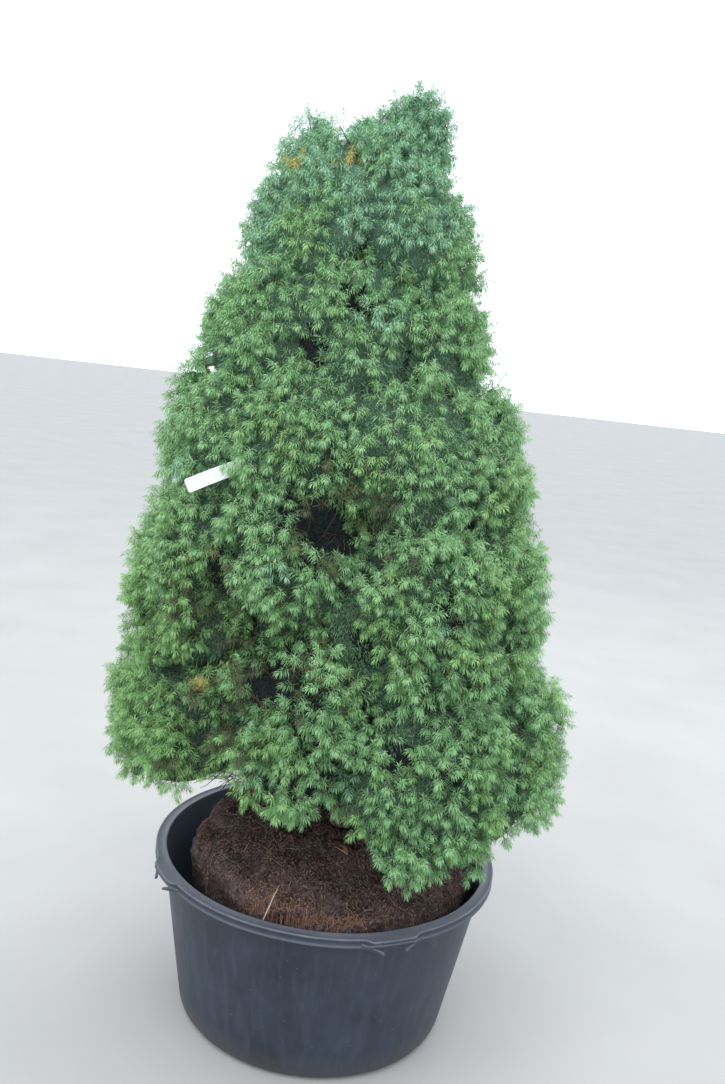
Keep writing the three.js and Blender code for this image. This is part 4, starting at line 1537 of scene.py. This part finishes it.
    def cover_cores(self) -> None:
        """Grows a tuft over every place where a mass's core still shows from outside."""
        faces, corners = self.core_mesh()
        tree = BVHTree.FromPolygons([tuple(c) for c in corners], [tuple(f) for f in faces])
        each = len(faces) // len(self.masses)
        taken = self.tips
        row = Seeded(self.seed * 11)
        for start, way, envelope in self.outside_rays():
            hit, normal, face, far = tree.ray_cast(Vector(start), Vector(way))
            chance, size = row.draw(), 0.8 + row.draw() * 0.3
            if hit is None:
                continue
            hit, normal, index = np.array(hit), np.array(normal), face // each
            self.bare.append((hit, normal, -way, index))
            deep = min(60.0, max(0.0, far - envelope))
            grown = unit(-way * 0.7 + normal * 0.45 + UP * 0.1)
            stand = 14 if self.masses[index].is_leader else 26
            tip = hit + grown * (stand + 14 * chance) - way * deep * 0.9
            near = taken[np.abs(taken - tip).max(1) < 75]
            along = (near - hit) @ -way
            aside = gap(near - hit, along[:, None] * -way)
            spacing = self.seam_spacing * (0.75 if hit[2] > self.leader_foot else 1)
            if (aside[(along > 8) & (along < 68)] < spacing).any() or in_hollow(tip, 1.15):
                continue
            if tip[2] < skirt_at(tip) + 8 or not self.is_open(tip[None]):
                continue
            root = self.masses[index].place(self.masses[index].half[0] * -0.1, 0, 0)
            self.clumps.append(Clump(root, tip, size, index, grown))
            taken = np.concatenate([taken, tip[None]])

    # Limbs and cores

    def build_limbs(self, finish: bpy.types.Material) -> None:
        """Builds the boughs, and the stems and twigs that carry the tufts."""
        bm = bmesh.new()
        for limb in self.boughs.values():
            part = bmesh.new()
            limb_into(part, limb.line, limb.bark_radius, 10, 22)
            mesh = bpy.data.meshes.new("bough")
            part.to_mesh(mesh)
            part.free()
            bm.from_mesh(mesh)
            bpy.data.meshes.remove(mesh)
        dress(object_from_bmesh("boughs_with_bark", bm), finish, self.boughs)
        roots = np.array([c.root for c in self.clumps])
        ends = np.array([c.tip - c.way * 20 for c in self.clumps])
        twigs = sagging(roots, ends, np.random.default_rng(self.seed), 8)
        self.tubes("twigs", WoodFinish("twig_bark", "#353127", "#544d3c"), twigs, 3.0, 1.2)
        stems = np.array([mass.stem.line.at(np.linspace(0, 1, 9)) for mass in self.masses])
        self.tubes("stems", WoodFinish("stem_bark", "#3a2d27", "#574639"), stems, 9, 6)

    def build_dead_twigs(self) -> None:
        """Builds the bare brown twigs that show in the hollows and under the crown's skirt."""
        rng = np.random.default_rng(self.seed + 31)
        starts, ends = [], []
        for place, room in places_of(HOLLOWS):
            inward = unit(np.array([-30.0, 0, place[2] - 20]) - place)
            for _ in range(int(room - 34)):
                spread = np.clip(rng.normal(0, room * 0.4, 3), -room * 0.7, room * 0.7)
                starts.append(place + inward * rng.uniform(60, 95) + spread)
                ends.append(place + inward * rng.uniform(20, 50) + spread * 1.3)
        for _ in range(self.skirt_twigs):
            a, far = rng.uniform(0, TURN), rng.uniform(60, 235)
            low = around(a) * far - np.array([4, 0, 0])
            low[2] = float(skirt_at(low)) + rng.uniform(0, 30)
            run = around(a + rng.normal(0, 0.9)) + UP * rng.uniform(-0.35, 0.2)
            starts.append(low)
            ends.append(low + run * rng.uniform(20, 48))
        path = sagging(np.array(starts), np.array(ends), rng, 4)
        path += rng.normal(0, 1.2, path.shape)
        path[..., 2] = np.maximum(path[..., 2], self.crown_floor)
        finish = WoodFinish("dead_twig_bark", "#332d28", "#4e453d", 0.003)
        self.tubes("dead_twigs", finish, path, 1.6, 0.7)

    def tubes(
        self, name: str, finish: WoodFinish, path: np.ndarray, thick: float, thin: float
    ) -> None:
        """Joins five-sided tapering tubes along paths in one piece.

        Args:
            name: the piece's name
            finish: the tubes' finish
            path: each tube's places, one row each
            thick: the width at the root
            thin: the width at the tip
        """
        widths = np.linspace(thick, thin, path.shape[1])[None, :, None]
        piece = object_from_arrays(name, *strands_along(path, widths, 5))
        dress(piece, finish.make(), self.foliage())

    def core_mesh(self) -> tuple[np.ndarray, np.ndarray]:
        """Shapes the close middle of every mass, lumpy and cut flat by its walls.

        Returns:
            The faces and the corners of all the cores, mass by mass.
        """
        if self.cores is not None:
            return self.cores
        bm = bmesh.new()
        hollows = places_of(HOLLOWS)
        for index, mass in enumerate(self.masses):
            row = Seeded(self.seed + index * 101)
            waves = [row.draw() * 6, row.draw() * 6]
            ball = bmesh.ops.create_icosphere(bm, subdivisions=4, radius=1)["verts"]
            for vert in ball:
                x, y, z = vert.co
                wave = math.sin(x * 5 + waves[0]) + math.sin(y * 4 + z * 3 + waves[1])
                rough = noise.noise(Vector(vert.co) * 5 + Vector((index * 7, 0, 0)))
                bump = 0.86 * (1 + 0.04 * wave) + 0.07 * rough
                polar = math.acos(min(1, max(-1, x)))
                place = mass.drawn_in(mass.on_core(polar, math.atan2(z, y), bump), -6)
                for middle, size in hollows:
                    near = 1 - ease(float(gap(place, middle)), size * 0.6, size * 2.2)
                    inward = mass.middle - place
                    far = max(1.0, float(np.linalg.norm(inward)))
                    place += inward * min(0.7, 1.2 * size * near / far)
                place[2] = max(place[2], float(skirt_at(place)) + 24)
                vert.co = Vector(place)
        self.cores = arrays_of(bm)
        return self.cores

    def build_cores(self) -> None:
        """Builds the close middle of every mass, coloured dark as painted shade."""
        faces, corners = self.core_mesh()
        centres = corners[faces].mean(1)
        deep = np.array([in_hollow(centre, 1.7) for centre in centres])
        # The cores in the hollows are painted near black: painted shade in the hollows.
        dark = ShadeFinish("hollow_growth_painted_shade", "#15191d", "#242b2d", "#35352f")
        for name, chosen, finish in (
            ("inner_foliage_painted_shade", ~deep, ShadeFinish(upper="#6a8c76")),
            ("hollow_foliage_painted_shade", deep, dark),
        ):
            used, rows = np.unique(faces[chosen], return_inverse=True)
            cores = object_from_arrays(name, corners[used], rows.reshape(-1, 3))
            cores.data.polygons.foreach_set("use_smooth", [True] * int(chosen.sum()))
            owners = np.flatnonzero(chosen) // (len(faces) // len(self.masses))
            dress(cores, finish.make(), self.foliage(owners))

    def build_bodies(self) -> None:
        """Builds the close growth in the heart of every tuft, where no light comes through,
        coloured dark as painted shade.
        """
        rng = np.random.default_rng(self.seed + 21)
        bm = bmesh.new()
        bmesh.ops.create_icosphere(bm, subdivisions=1, radius=1)
        faces, corners = arrays_of(bm)
        outer = [c for c in self.clumps if not self.masses[c.mass].is_leader]
        clumps = [c for c in outer if not in_hollow(c.tip, 1.8)]
        tips = np.array([c.tip for c in clumps])
        ways = np.array([c.way for c in clumps])
        sizes = np.array([c.size for c in clumps])[:, None, None] * self.clump_radius
        middles = tips - ways * sizes[:, 0] * 1.15
        uneven = rng.uniform(0.4, 1.5, (len(tips), len(corners), 1))
        places = middles[:, None] + corners[None] * uneven * sizes * 0.37
        rows = (np.arange(len(tips))[:, None, None] * len(corners) + faces[None]).reshape(-1, 3)
        piece = object_from_arrays("tuft_hearts", places.reshape(-1, 3), rows)
        # The hearts are painted darker than the needles as painted shade, and lighter towards the
        # top as painted light.
        finish = ShadeFinish("tuft_hearts_painted_shade", "#3d5d42", "#587f58", "#759b6c", "#86ad8e")
        dress(piece, finish.make(), self.foliage())

    # Shoots and needles

    def blades(
        self,
        base: np.ndarray,
        way: np.ndarray,
        bend: np.ndarray,
        side: np.ndarray,
        length: np.ndarray,
    ) -> np.ndarray:
        """Returns the four corners of needles that leave their bases one way and bend to another.

        Args:
            base: where each needle starts
            way: which way it starts
            bend: which way its outer part points
            side: which way it is wide
            length: how long it is
        """
        waist = base + way * (length * 0.45)
        half = side * (self.needle_width / 2)
        return np.stack([base, waist + half, waist + bend * (length * 0.55), waist - half], 2)

    def lay_blades(
        self, name: str, corners: np.ndarray, finish: bpy.types.Material, owners: np.ndarray
    ) -> None:
        """Joins needles in one piece, which stands for the masses that own them.

        Args:
            name: the piece's name
            corners: the four corners of each needle
            finish: the needles' finish
            owners: the numbers of the masses that the needles grow on
        """
        quad = np.array([[0, 1, 3], [1, 2, 3]])
        faces = (np.arange(len(corners))[:, None, None] * 4 + quad).reshape(-1, 3)
        piece = object_from_arrays(name, corners.reshape(-1, 3), faces)
        dress(piece, finish, self.foliage(owners))

    def build_stubble(self) -> None:
        """Sets short inner needles on the cores, wherever one shows between the tufts."""
        rng = np.random.default_rng(self.seed + 17)
        tips = np.array([c.tip - c.way * 18 for c in self.clumps])
        shown = []
        for row in self.bare:
            hit, _, back, _ = row
            if in_hollow(hit, 1.6):
                continue
            near = tips[np.abs(tips - hit).max(1) < 70] - hit
            along = near @ back
            aside = gap(near, along[:, None] * back)
            if not (aside[(along > -6) & (along < 68)] < self.bare_room).any():
                shown.append(row)
        hits, normals, backs, owners = (np.array([row[k] for row in shown]) for k in range(4))
        count, many = len(shown), self.stubble_each
        first, second = side_axes(normals)
        far = self.stubble_spread
        spread = rng.uniform(-far, far, (2, count, many, 1))
        base = hits[:, None] + spread[0] * first[:, None] + spread[1] * second[:, None]
        base = base - normals[:, None] * 2
        way = normals[:, None] * 0.7 + backs[:, None] * 0.35 + rng.normal(0, 0.45, (count, many, 3))
        way = unit(way + UP * 0.2)
        length = self.needle_length * rng.uniform(0.75, 1.05, (count, many, 1))
        side = unit(np.cross(way, UP + rng.normal(0, 0.4, (count, many, 3))))
        corners = self.blades(base, way, unit(way - UP * 0.6), side, length)
        # The inner needles are painted lighter towards the top as well: painted light from above.
        tone = np.digitize(hits[:, 2] + rng.normal(0, 160, count), self.lighter_from)
        for k, green in enumerate(INNER_GREENS):
            finish = NeedleTone(f"inner_needles_{k + 1}", green)
            picked = corners[tone == k].reshape(-1, 4, 3)
            self.lay_blades(finish.name, picked, finish.make(), owners[tone == k])
        LOG.info("%d inner needles on the cores", count * many)

    def grow_shoots(self) -> dict[str, np.ndarray]:
        """Fans shoots out of every tuft.

        Returns:
            The shoots' bases, ways, lengths, heights in the tuft from 0 to 1, and tufts.
        """
        rng = np.random.default_rng(self.seed + 5)
        tips = self.tips
        sizes = np.array([c.size for c in self.clumps])
        outs = np.array([c.way for c in self.clumps])
        counts = np.round(self.shoots_per_clump * sizes**1.3).astype(int)
        clump = np.repeat(np.arange(len(counts)), counts)
        order = np.concatenate([np.arange(n) for n in counts])
        polar = np.arccos(1 - (order + 0.5) / counts[clump] * (1 - math.cos(1.5)))
        polar += rng.normal(0, 0.1, len(clump))
        turn = order * GOLDEN_TURN + rng.uniform(0, 6.28, len(counts))[clump]
        turn += rng.normal(0, 0.2, len(clump))
        axes = unit(outs + UP * 0.28)
        first, second = side_axes(axes)
        ways = np.cos(polar)[:, None] * axes[clump] + np.sin(polar)[:, None] * (
            np.cos(turn)[:, None] * first[clump] + np.sin(turn)[:, None] * second[clump]
        )
        radius = self.clump_radius * sizes[clump]
        middles = (tips - outs * (self.clump_radius * sizes * 0.92)[:, None])[clump]
        lengths = radius * rng.uniform(0.62, 0.86, len(clump))
        bases = middles + ways * (radius * 0.14)[:, None]
        ways = unit(ways - UP * 0.12)
        ends = bases + ways * lengths[:, None]
        kept = ends[:, 2] > skirt_at(ends) - rng.uniform(-4, 10, len(ends))
        return {
            "base": bases[kept],
            "way": ways[kept],
            "length": lengths[kept],
            "lift": np.cos(polar)[kept],
            "clump": clump[kept],
        }

    def tones_of(self, shoots: dict[str, np.ndarray]) -> tuple[np.ndarray, np.ndarray]:
        """Deals out a cast of green to every tuft and a depth of painted shade to every shoot.

        Args:
            shoots: the shoots, as grow_shoots gives them

        Returns:
            The family and the depth of each shoot, as their numbers.
        """
        rng = np.random.default_rng(self.seed + 9)
        tips = self.tips
        x, _, z = tips.T
        # Tufts towards the top are dealt the cool family more often: a pale blue cast that is
        # partly painted sky light.
        cool = 0.9 * ease(z, 1040, 1420) - 0.06
        warm = 0.85 * ease(-x, 40, 240) * ease(-z, -860, -560) + 0.24 * ease(-z, -1300, -700)
        # Tufts of one bunch have much the same cast.
        lobes = np.array([noise.noise(Vector(tip) / self.cast_size) for tip in tips])
        deal = np.maximum(0.5 + 0.6 * (rng.uniform(0, 1, len(tips)) - 0.5) + lobes * 0.75, 0)
        clump = shoots["clump"]
        family = np.where(deal > 1 - cool, int(Family.COOL), int(Family.PLAIN))
        family = np.where(deal < warm, int(Family.WARM), family)[clump]
        for place, room in places_of(DRY_PLACES):
            near = gap(shoots["base"], place) < room
            family[near & (rng.uniform(0, 1, len(clump)) < 0.7)] = Family.DRY
        for place, room in places_of(HOLLOWS):
            if room > self.deep_hollow:
                far = gap(shoots["base"], place)
                chance = 0.5 * (1 - ease(far, room * 0.9, room * 1.7))
                family[rng.uniform(0, 1, len(clump)) < chance] = Family.OLD
        # Shoots that face up, rise high in their tuft or sit on proud bunches are painted lighter:
        # painted light from above.
        score = shoots["way"][:, 2] * 0.9 + shoots["lift"] * 0.6
        score += np.array([c.proud for c in self.clumps])[clump] * 1.3
        # The greens are painted lighter towards the crown's top, and painted shade darkens them
        # round its hollows.
        shade = 1.9 * ease(z, 380, 1150) - 1.0
        for place, room in places_of(HOLLOWS):
            shade -= 0.9 * (1 - ease(gap(tips, place), room, room * 1.7))
        score += shade[clump]
        score += rng.normal(0, 0.35, len(clump)) + rng.normal(0, 0.2, len(tips))[clump]
        return family, np.digitize(score, self.depth_from)

    def needles_on(
        self, shoots: dict[str, np.ndarray], rng: np.random.Generator
    ) -> tuple[np.ndarray, np.ndarray]:
        """Sets needles all round each shoot, spread at its base and pointing forwards at its tip.

        Args:
            shoots: the shoots, as grow_shoots gives them
            rng: the row of random numbers to draw from

        Returns:
            The four corners of each needle of each shoot, and how far along its shoot each is.
        """
        count, many = len(shoots["base"]), self.needles_per_shoot
        step = (np.arange(many) + 0.5) / many
        share = np.clip(0.3 + 0.72 * step[None] ** 0.9 + rng.normal(0, 0.02, (count, many)), 0, 1)
        turn = np.arange(many)[None] * GOLDEN_TURN + rng.uniform(0, 6.28, (count, 1))
        pitch = 1.2 - 0.5 * share**3 + rng.normal(0, 0.16, (count, many))
        pitch[:, -6:] = rng.uniform(0.1, 0.6, (count, 6))
        first, second = side_axes(shoots["way"])
        axis = shoots["way"][:, None]
        spoke = np.cos(turn)[..., None] * first[:, None] + np.sin(turn)[..., None] * second[:, None]
        way = np.cos(pitch)[..., None] * axis + np.sin(pitch)[..., None] * spoke
        way = unit(way + rng.normal(0, 0.08, (count, many, 3)))
        bend = unit(way - UP * 0.85 + axis * 0.1)
        length = self.needle_length * (1 - 0.2 * share) * rng.uniform(0.82, 1.12, (count, many))
        base = shoots["base"][:, None] + axis * (shoots["length"][:, None] * share)[..., None]
        side = unit(np.cross(way, UP + rng.normal(0, 0.3, (count, many, 3))))
        inwards = (np.cross(side, way) * spoke).sum(-1, keepdims=True) < 0
        side = np.where(inwards, -side, side)
        return self.blades(base, way, bend, side, length[..., None]), share

    def build_needles(self) -> None:
        """Builds the shoots and the needles, one piece to each cast of green and depth."""
        shoots = self.grow_shoots()
        family, depth = self.tones_of(shoots)
        corners, share = self.needles_on(shoots, np.random.default_rng(self.seed + 13))
        # The outer needles of a shoot are a season younger, so they are one step lighter.
        needle_depth = np.minimum(depth[:, None] + (share > 0.7), Depth.TIP)
        mass_of = np.array([c.mass for c in self.clumps])[shoots["clump"]]
        for cast in Family:
            for level in Depth:
                chosen = (family[:, None] == cast) & (needle_depth == level)
                if not chosen.any():
                    continue
                picked = corners[chosen]
                owners = np.broadcast_to(mass_of[:, None], chosen.shape)[chosen]
                name = f"needles_{cast.name.lower()}_{level.name.lower()}"
                finish = NeedleTone(name, NEEDLE_GREENS[cast][level]).make()
                parts = math.ceil(len(picked) / self.needles_per_piece)
                heights = picked[:, 0, 2]
                bands = np.quantile(heights, np.linspace(0, 1, parts + 1))
                for p in range(parts):
                    inside = (heights >= bands[p]) & (heights < bands[p + 1] + (p == parts - 1))
                    tail = f"_{p + 1}" if parts > 1 else ""
                    self.lay_blades(name + tail, picked[inside], finish, owners[inside])
        ends = shoots["base"] + shoots["way"] * shoots["length"][:, None]
        self.build_spikes(shoots["base"], ends)

    def build_spikes(self, starts: np.ndarray, ends: np.ndarray, width: float = 1.5) -> None:
        """Joins slim three-sided spikes, one for each shoot's own stem, in one piece."""
        first, second = side_axes(unit(ends - starts))
        rings = []
        for k in range(3):
            angle = k * TURN / 3
            rings.append(starts + (math.cos(angle) * first + math.sin(angle) * second) * width / 2)
        corners = np.stack([*rings, ends], 1).reshape(-1, 3)
        sides = np.array([[0, 1, 3], [1, 2, 3], [2, 0, 3]])
        faces = (np.arange(len(starts))[:, None, None] * 4 + sides).reshape(-1, 3)
        finish = WoodFinish("young_shoot_bark", "#5c6a3e", "#7b8753", 0.003).make()
        dress(object_from_arrays("shoots", corners, faces), finish, self.foliage())

    def build(self) -> None:
        """Builds and dresses the crown and its limbs."""
        self.lay_out()
        self.grow_twigs()
        bark = BarkFinish().make()
        self.trunk.build(bark)
        self.build_limbs(bark)
        self.build_cores()
        self.build_bodies()
        self.build_stubble()
        self.build_dead_twigs()
        self.build_needles()


# Label


@dataclass
class Label:
    """A blank strip of white plastic pushed in among the sprays."""

    inner: tuple[float, float, float] = (-170, -196, 900)
    outer: tuple[float, float, float] = (-236, -236, 868)
    width: float = 19
    thick: float = 0.8
    bow: float = 5
    corner: float = 3
    steps: int = 12

    def build(self) -> None:
        """Builds and dresses the label: a bowed strip with rounded corners."""
        inner, outer = np.array(self.inner, float), np.array(self.outer, float)
        along = unit(outer - inner)
        length = float(np.linalg.norm(outer - inner))
        across = np.array([0.2, 0.3, 1.0])
        across = unit(across - along * (across @ along))
        face = np.cross(along, across)
        bm = bmesh.new()
        grid = bmesh.ops.create_grid(bm, x_segments=1, y_segments=1, size=0.5)["verts"]
        bmesh.ops.scale(bm, vec=(length, self.width, 1), verts=grid)
        bmesh.ops.bevel(
            bm,
            geom=list(bm.verts),
            offset=self.corner,
            segments=4,
            profile=0.5,
            affect="VERTICES",
            material=-1,
        )
        for step in range(1, self.steps):
            geom = [*bm.verts, *bm.edges, *bm.faces]
            cut = ((-0.5 + step / self.steps) * length, 0, 0)
            bmesh.ops.bisect_plane(bm, geom=geom, plane_co=cut, plane_no=(1, 0, 0))
        bmesh.ops.solidify(bm, geom=bm.faces, thickness=self.thick)
        middle = (inner + outer) / 2
        for vert in bm.verts:
            share = vert.co.x / length * 2
            z = vert.co.z - self.bow * share * share
            vert.co = Vector(middle + along * vert.co.x + across * vert.co.y + face * z)
        bmesh.ops.recalc_face_normals(bm, faces=bm.faces)
        finish = PaleFinish("label_white_plastic", "#d9ded8", "#f6f8f3", 0.55, 0.009, 4, 0.35)
        label = object_from_bmesh("blank_label", bm, smooth=False)
        dress(label, finish.make(), ["label"])


# Floor, light and camera


@dataclass
class Studio:
    """The pale floor, the soft light and the camera at the photograph's angle."""

    focal_pixels: float = 1031
    sensor_width: float = 36
    pitch: float = 10.1
    roll: float = 6.4
    eye: tuple[float, float, float] = (0.004, -1.58, 1.06)
    sky: str = "#eaeff6"
    sky_strength: float = 2.02
    floor_reach: float = 30000

    def build_floor(self) -> None:
        """Lays the floor."""
        bm = bmesh.new()
        bmesh.ops.create_grid(bm, x_segments=1, y_segments=1, size=self.floor_reach)
        floor = object_from_bmesh("floor", bm, smooth=False)
        finish = PaleFinish("pale_floor", "#a0a09e", "#a6a6a4", 0.7, 1 / 3, 3, 0.9)
        floor.data.materials.append(finish.make())

    def light(self) -> None:
        """Sets a pale sky and broad soft lamps, the main one high in front."""
        world = bpy.data.worlds.new("sky")
        bpy.context.scene.world = world
        world.use_nodes = True
        back = world.node_tree.nodes["Background"]
        back.inputs["Color"].default_value = colour(self.sky)
        back.inputs["Strength"].default_value = self.sky_strength
        self.lamp("main_light", (-1.1, -1.9, 3.6), (-0.02, 0, 0.8), 3.4, 77)
        self.lamp("back_light", (1.4, 1.8, 3.2), (0, 0, 0.9), 3.0, 45)

    @staticmethod
    def lamp(
        name: str,
        place: tuple[float, float, float],
        target: tuple[float, float, float],
        size: float,
        watts: float,
    ) -> None:
        """Hangs one square soft lamp that faces a target.

        Args:
            name: the lamp's name
            place: where it hangs, in metres
            target: the place that it faces
            size: the length of its side
            watts: its power
        """
        data = bpy.data.lights.new(name, "AREA")
        data.size, data.energy = size, watts
        lamp = in_scene(bpy.data.objects.new(name, data))
        lamp.location = place
        lamp.rotation_euler = (Vector(target) - Vector(place)).to_track_quat("-Z", "Y").to_euler()

    def aim(self) -> None:
        """Sets the camera where the photograph was taken from."""
        pitch, roll = math.radians(self.pitch), math.radians(self.roll)
        ahead = np.array([0, math.cos(pitch), -math.sin(pitch)])
        up = np.array([0, math.sin(pitch), math.cos(pitch)])
        right = np.array([1.0, 0, 0])
        across = math.cos(roll) * right + math.sin(roll) * up
        above = -math.sin(roll) * right + math.cos(roll) * up
        data = bpy.data.cameras.new("camera")
        data.sensor_width = self.sensor_width
        data.lens = self.focal_pixels / PHOTO_HEIGHT * self.sensor_width
        camera = in_scene(bpy.data.objects.new("camera", data))
        rows = np.eye(4)
        rows[:3, 0], rows[:3, 1], rows[:3, 2], rows[:3, 3] = across, above, -ahead, self.eye
        camera.matrix_world = Matrix(rows.tolist())
        bpy.context.scene.camera = camera

    def build(self) -> None:
        """Sets the whole stage up."""
        self.build_floor()
        self.light()
        self.aim()
        bpy.context.scene.view_settings.view_transform = "Standard"


def main() -> None:
    """Builds the pot, the root ball, the plant and its label, and the stage round them."""
    logging.basicConfig(level=logging.INFO, format="%(message)s")
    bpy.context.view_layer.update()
    NurseryPot().build()
    RootBall().build()
    Crown(Trunk()).build()
    Label().build()
    Studio().build()


if __name__ == "__main__":
    main()
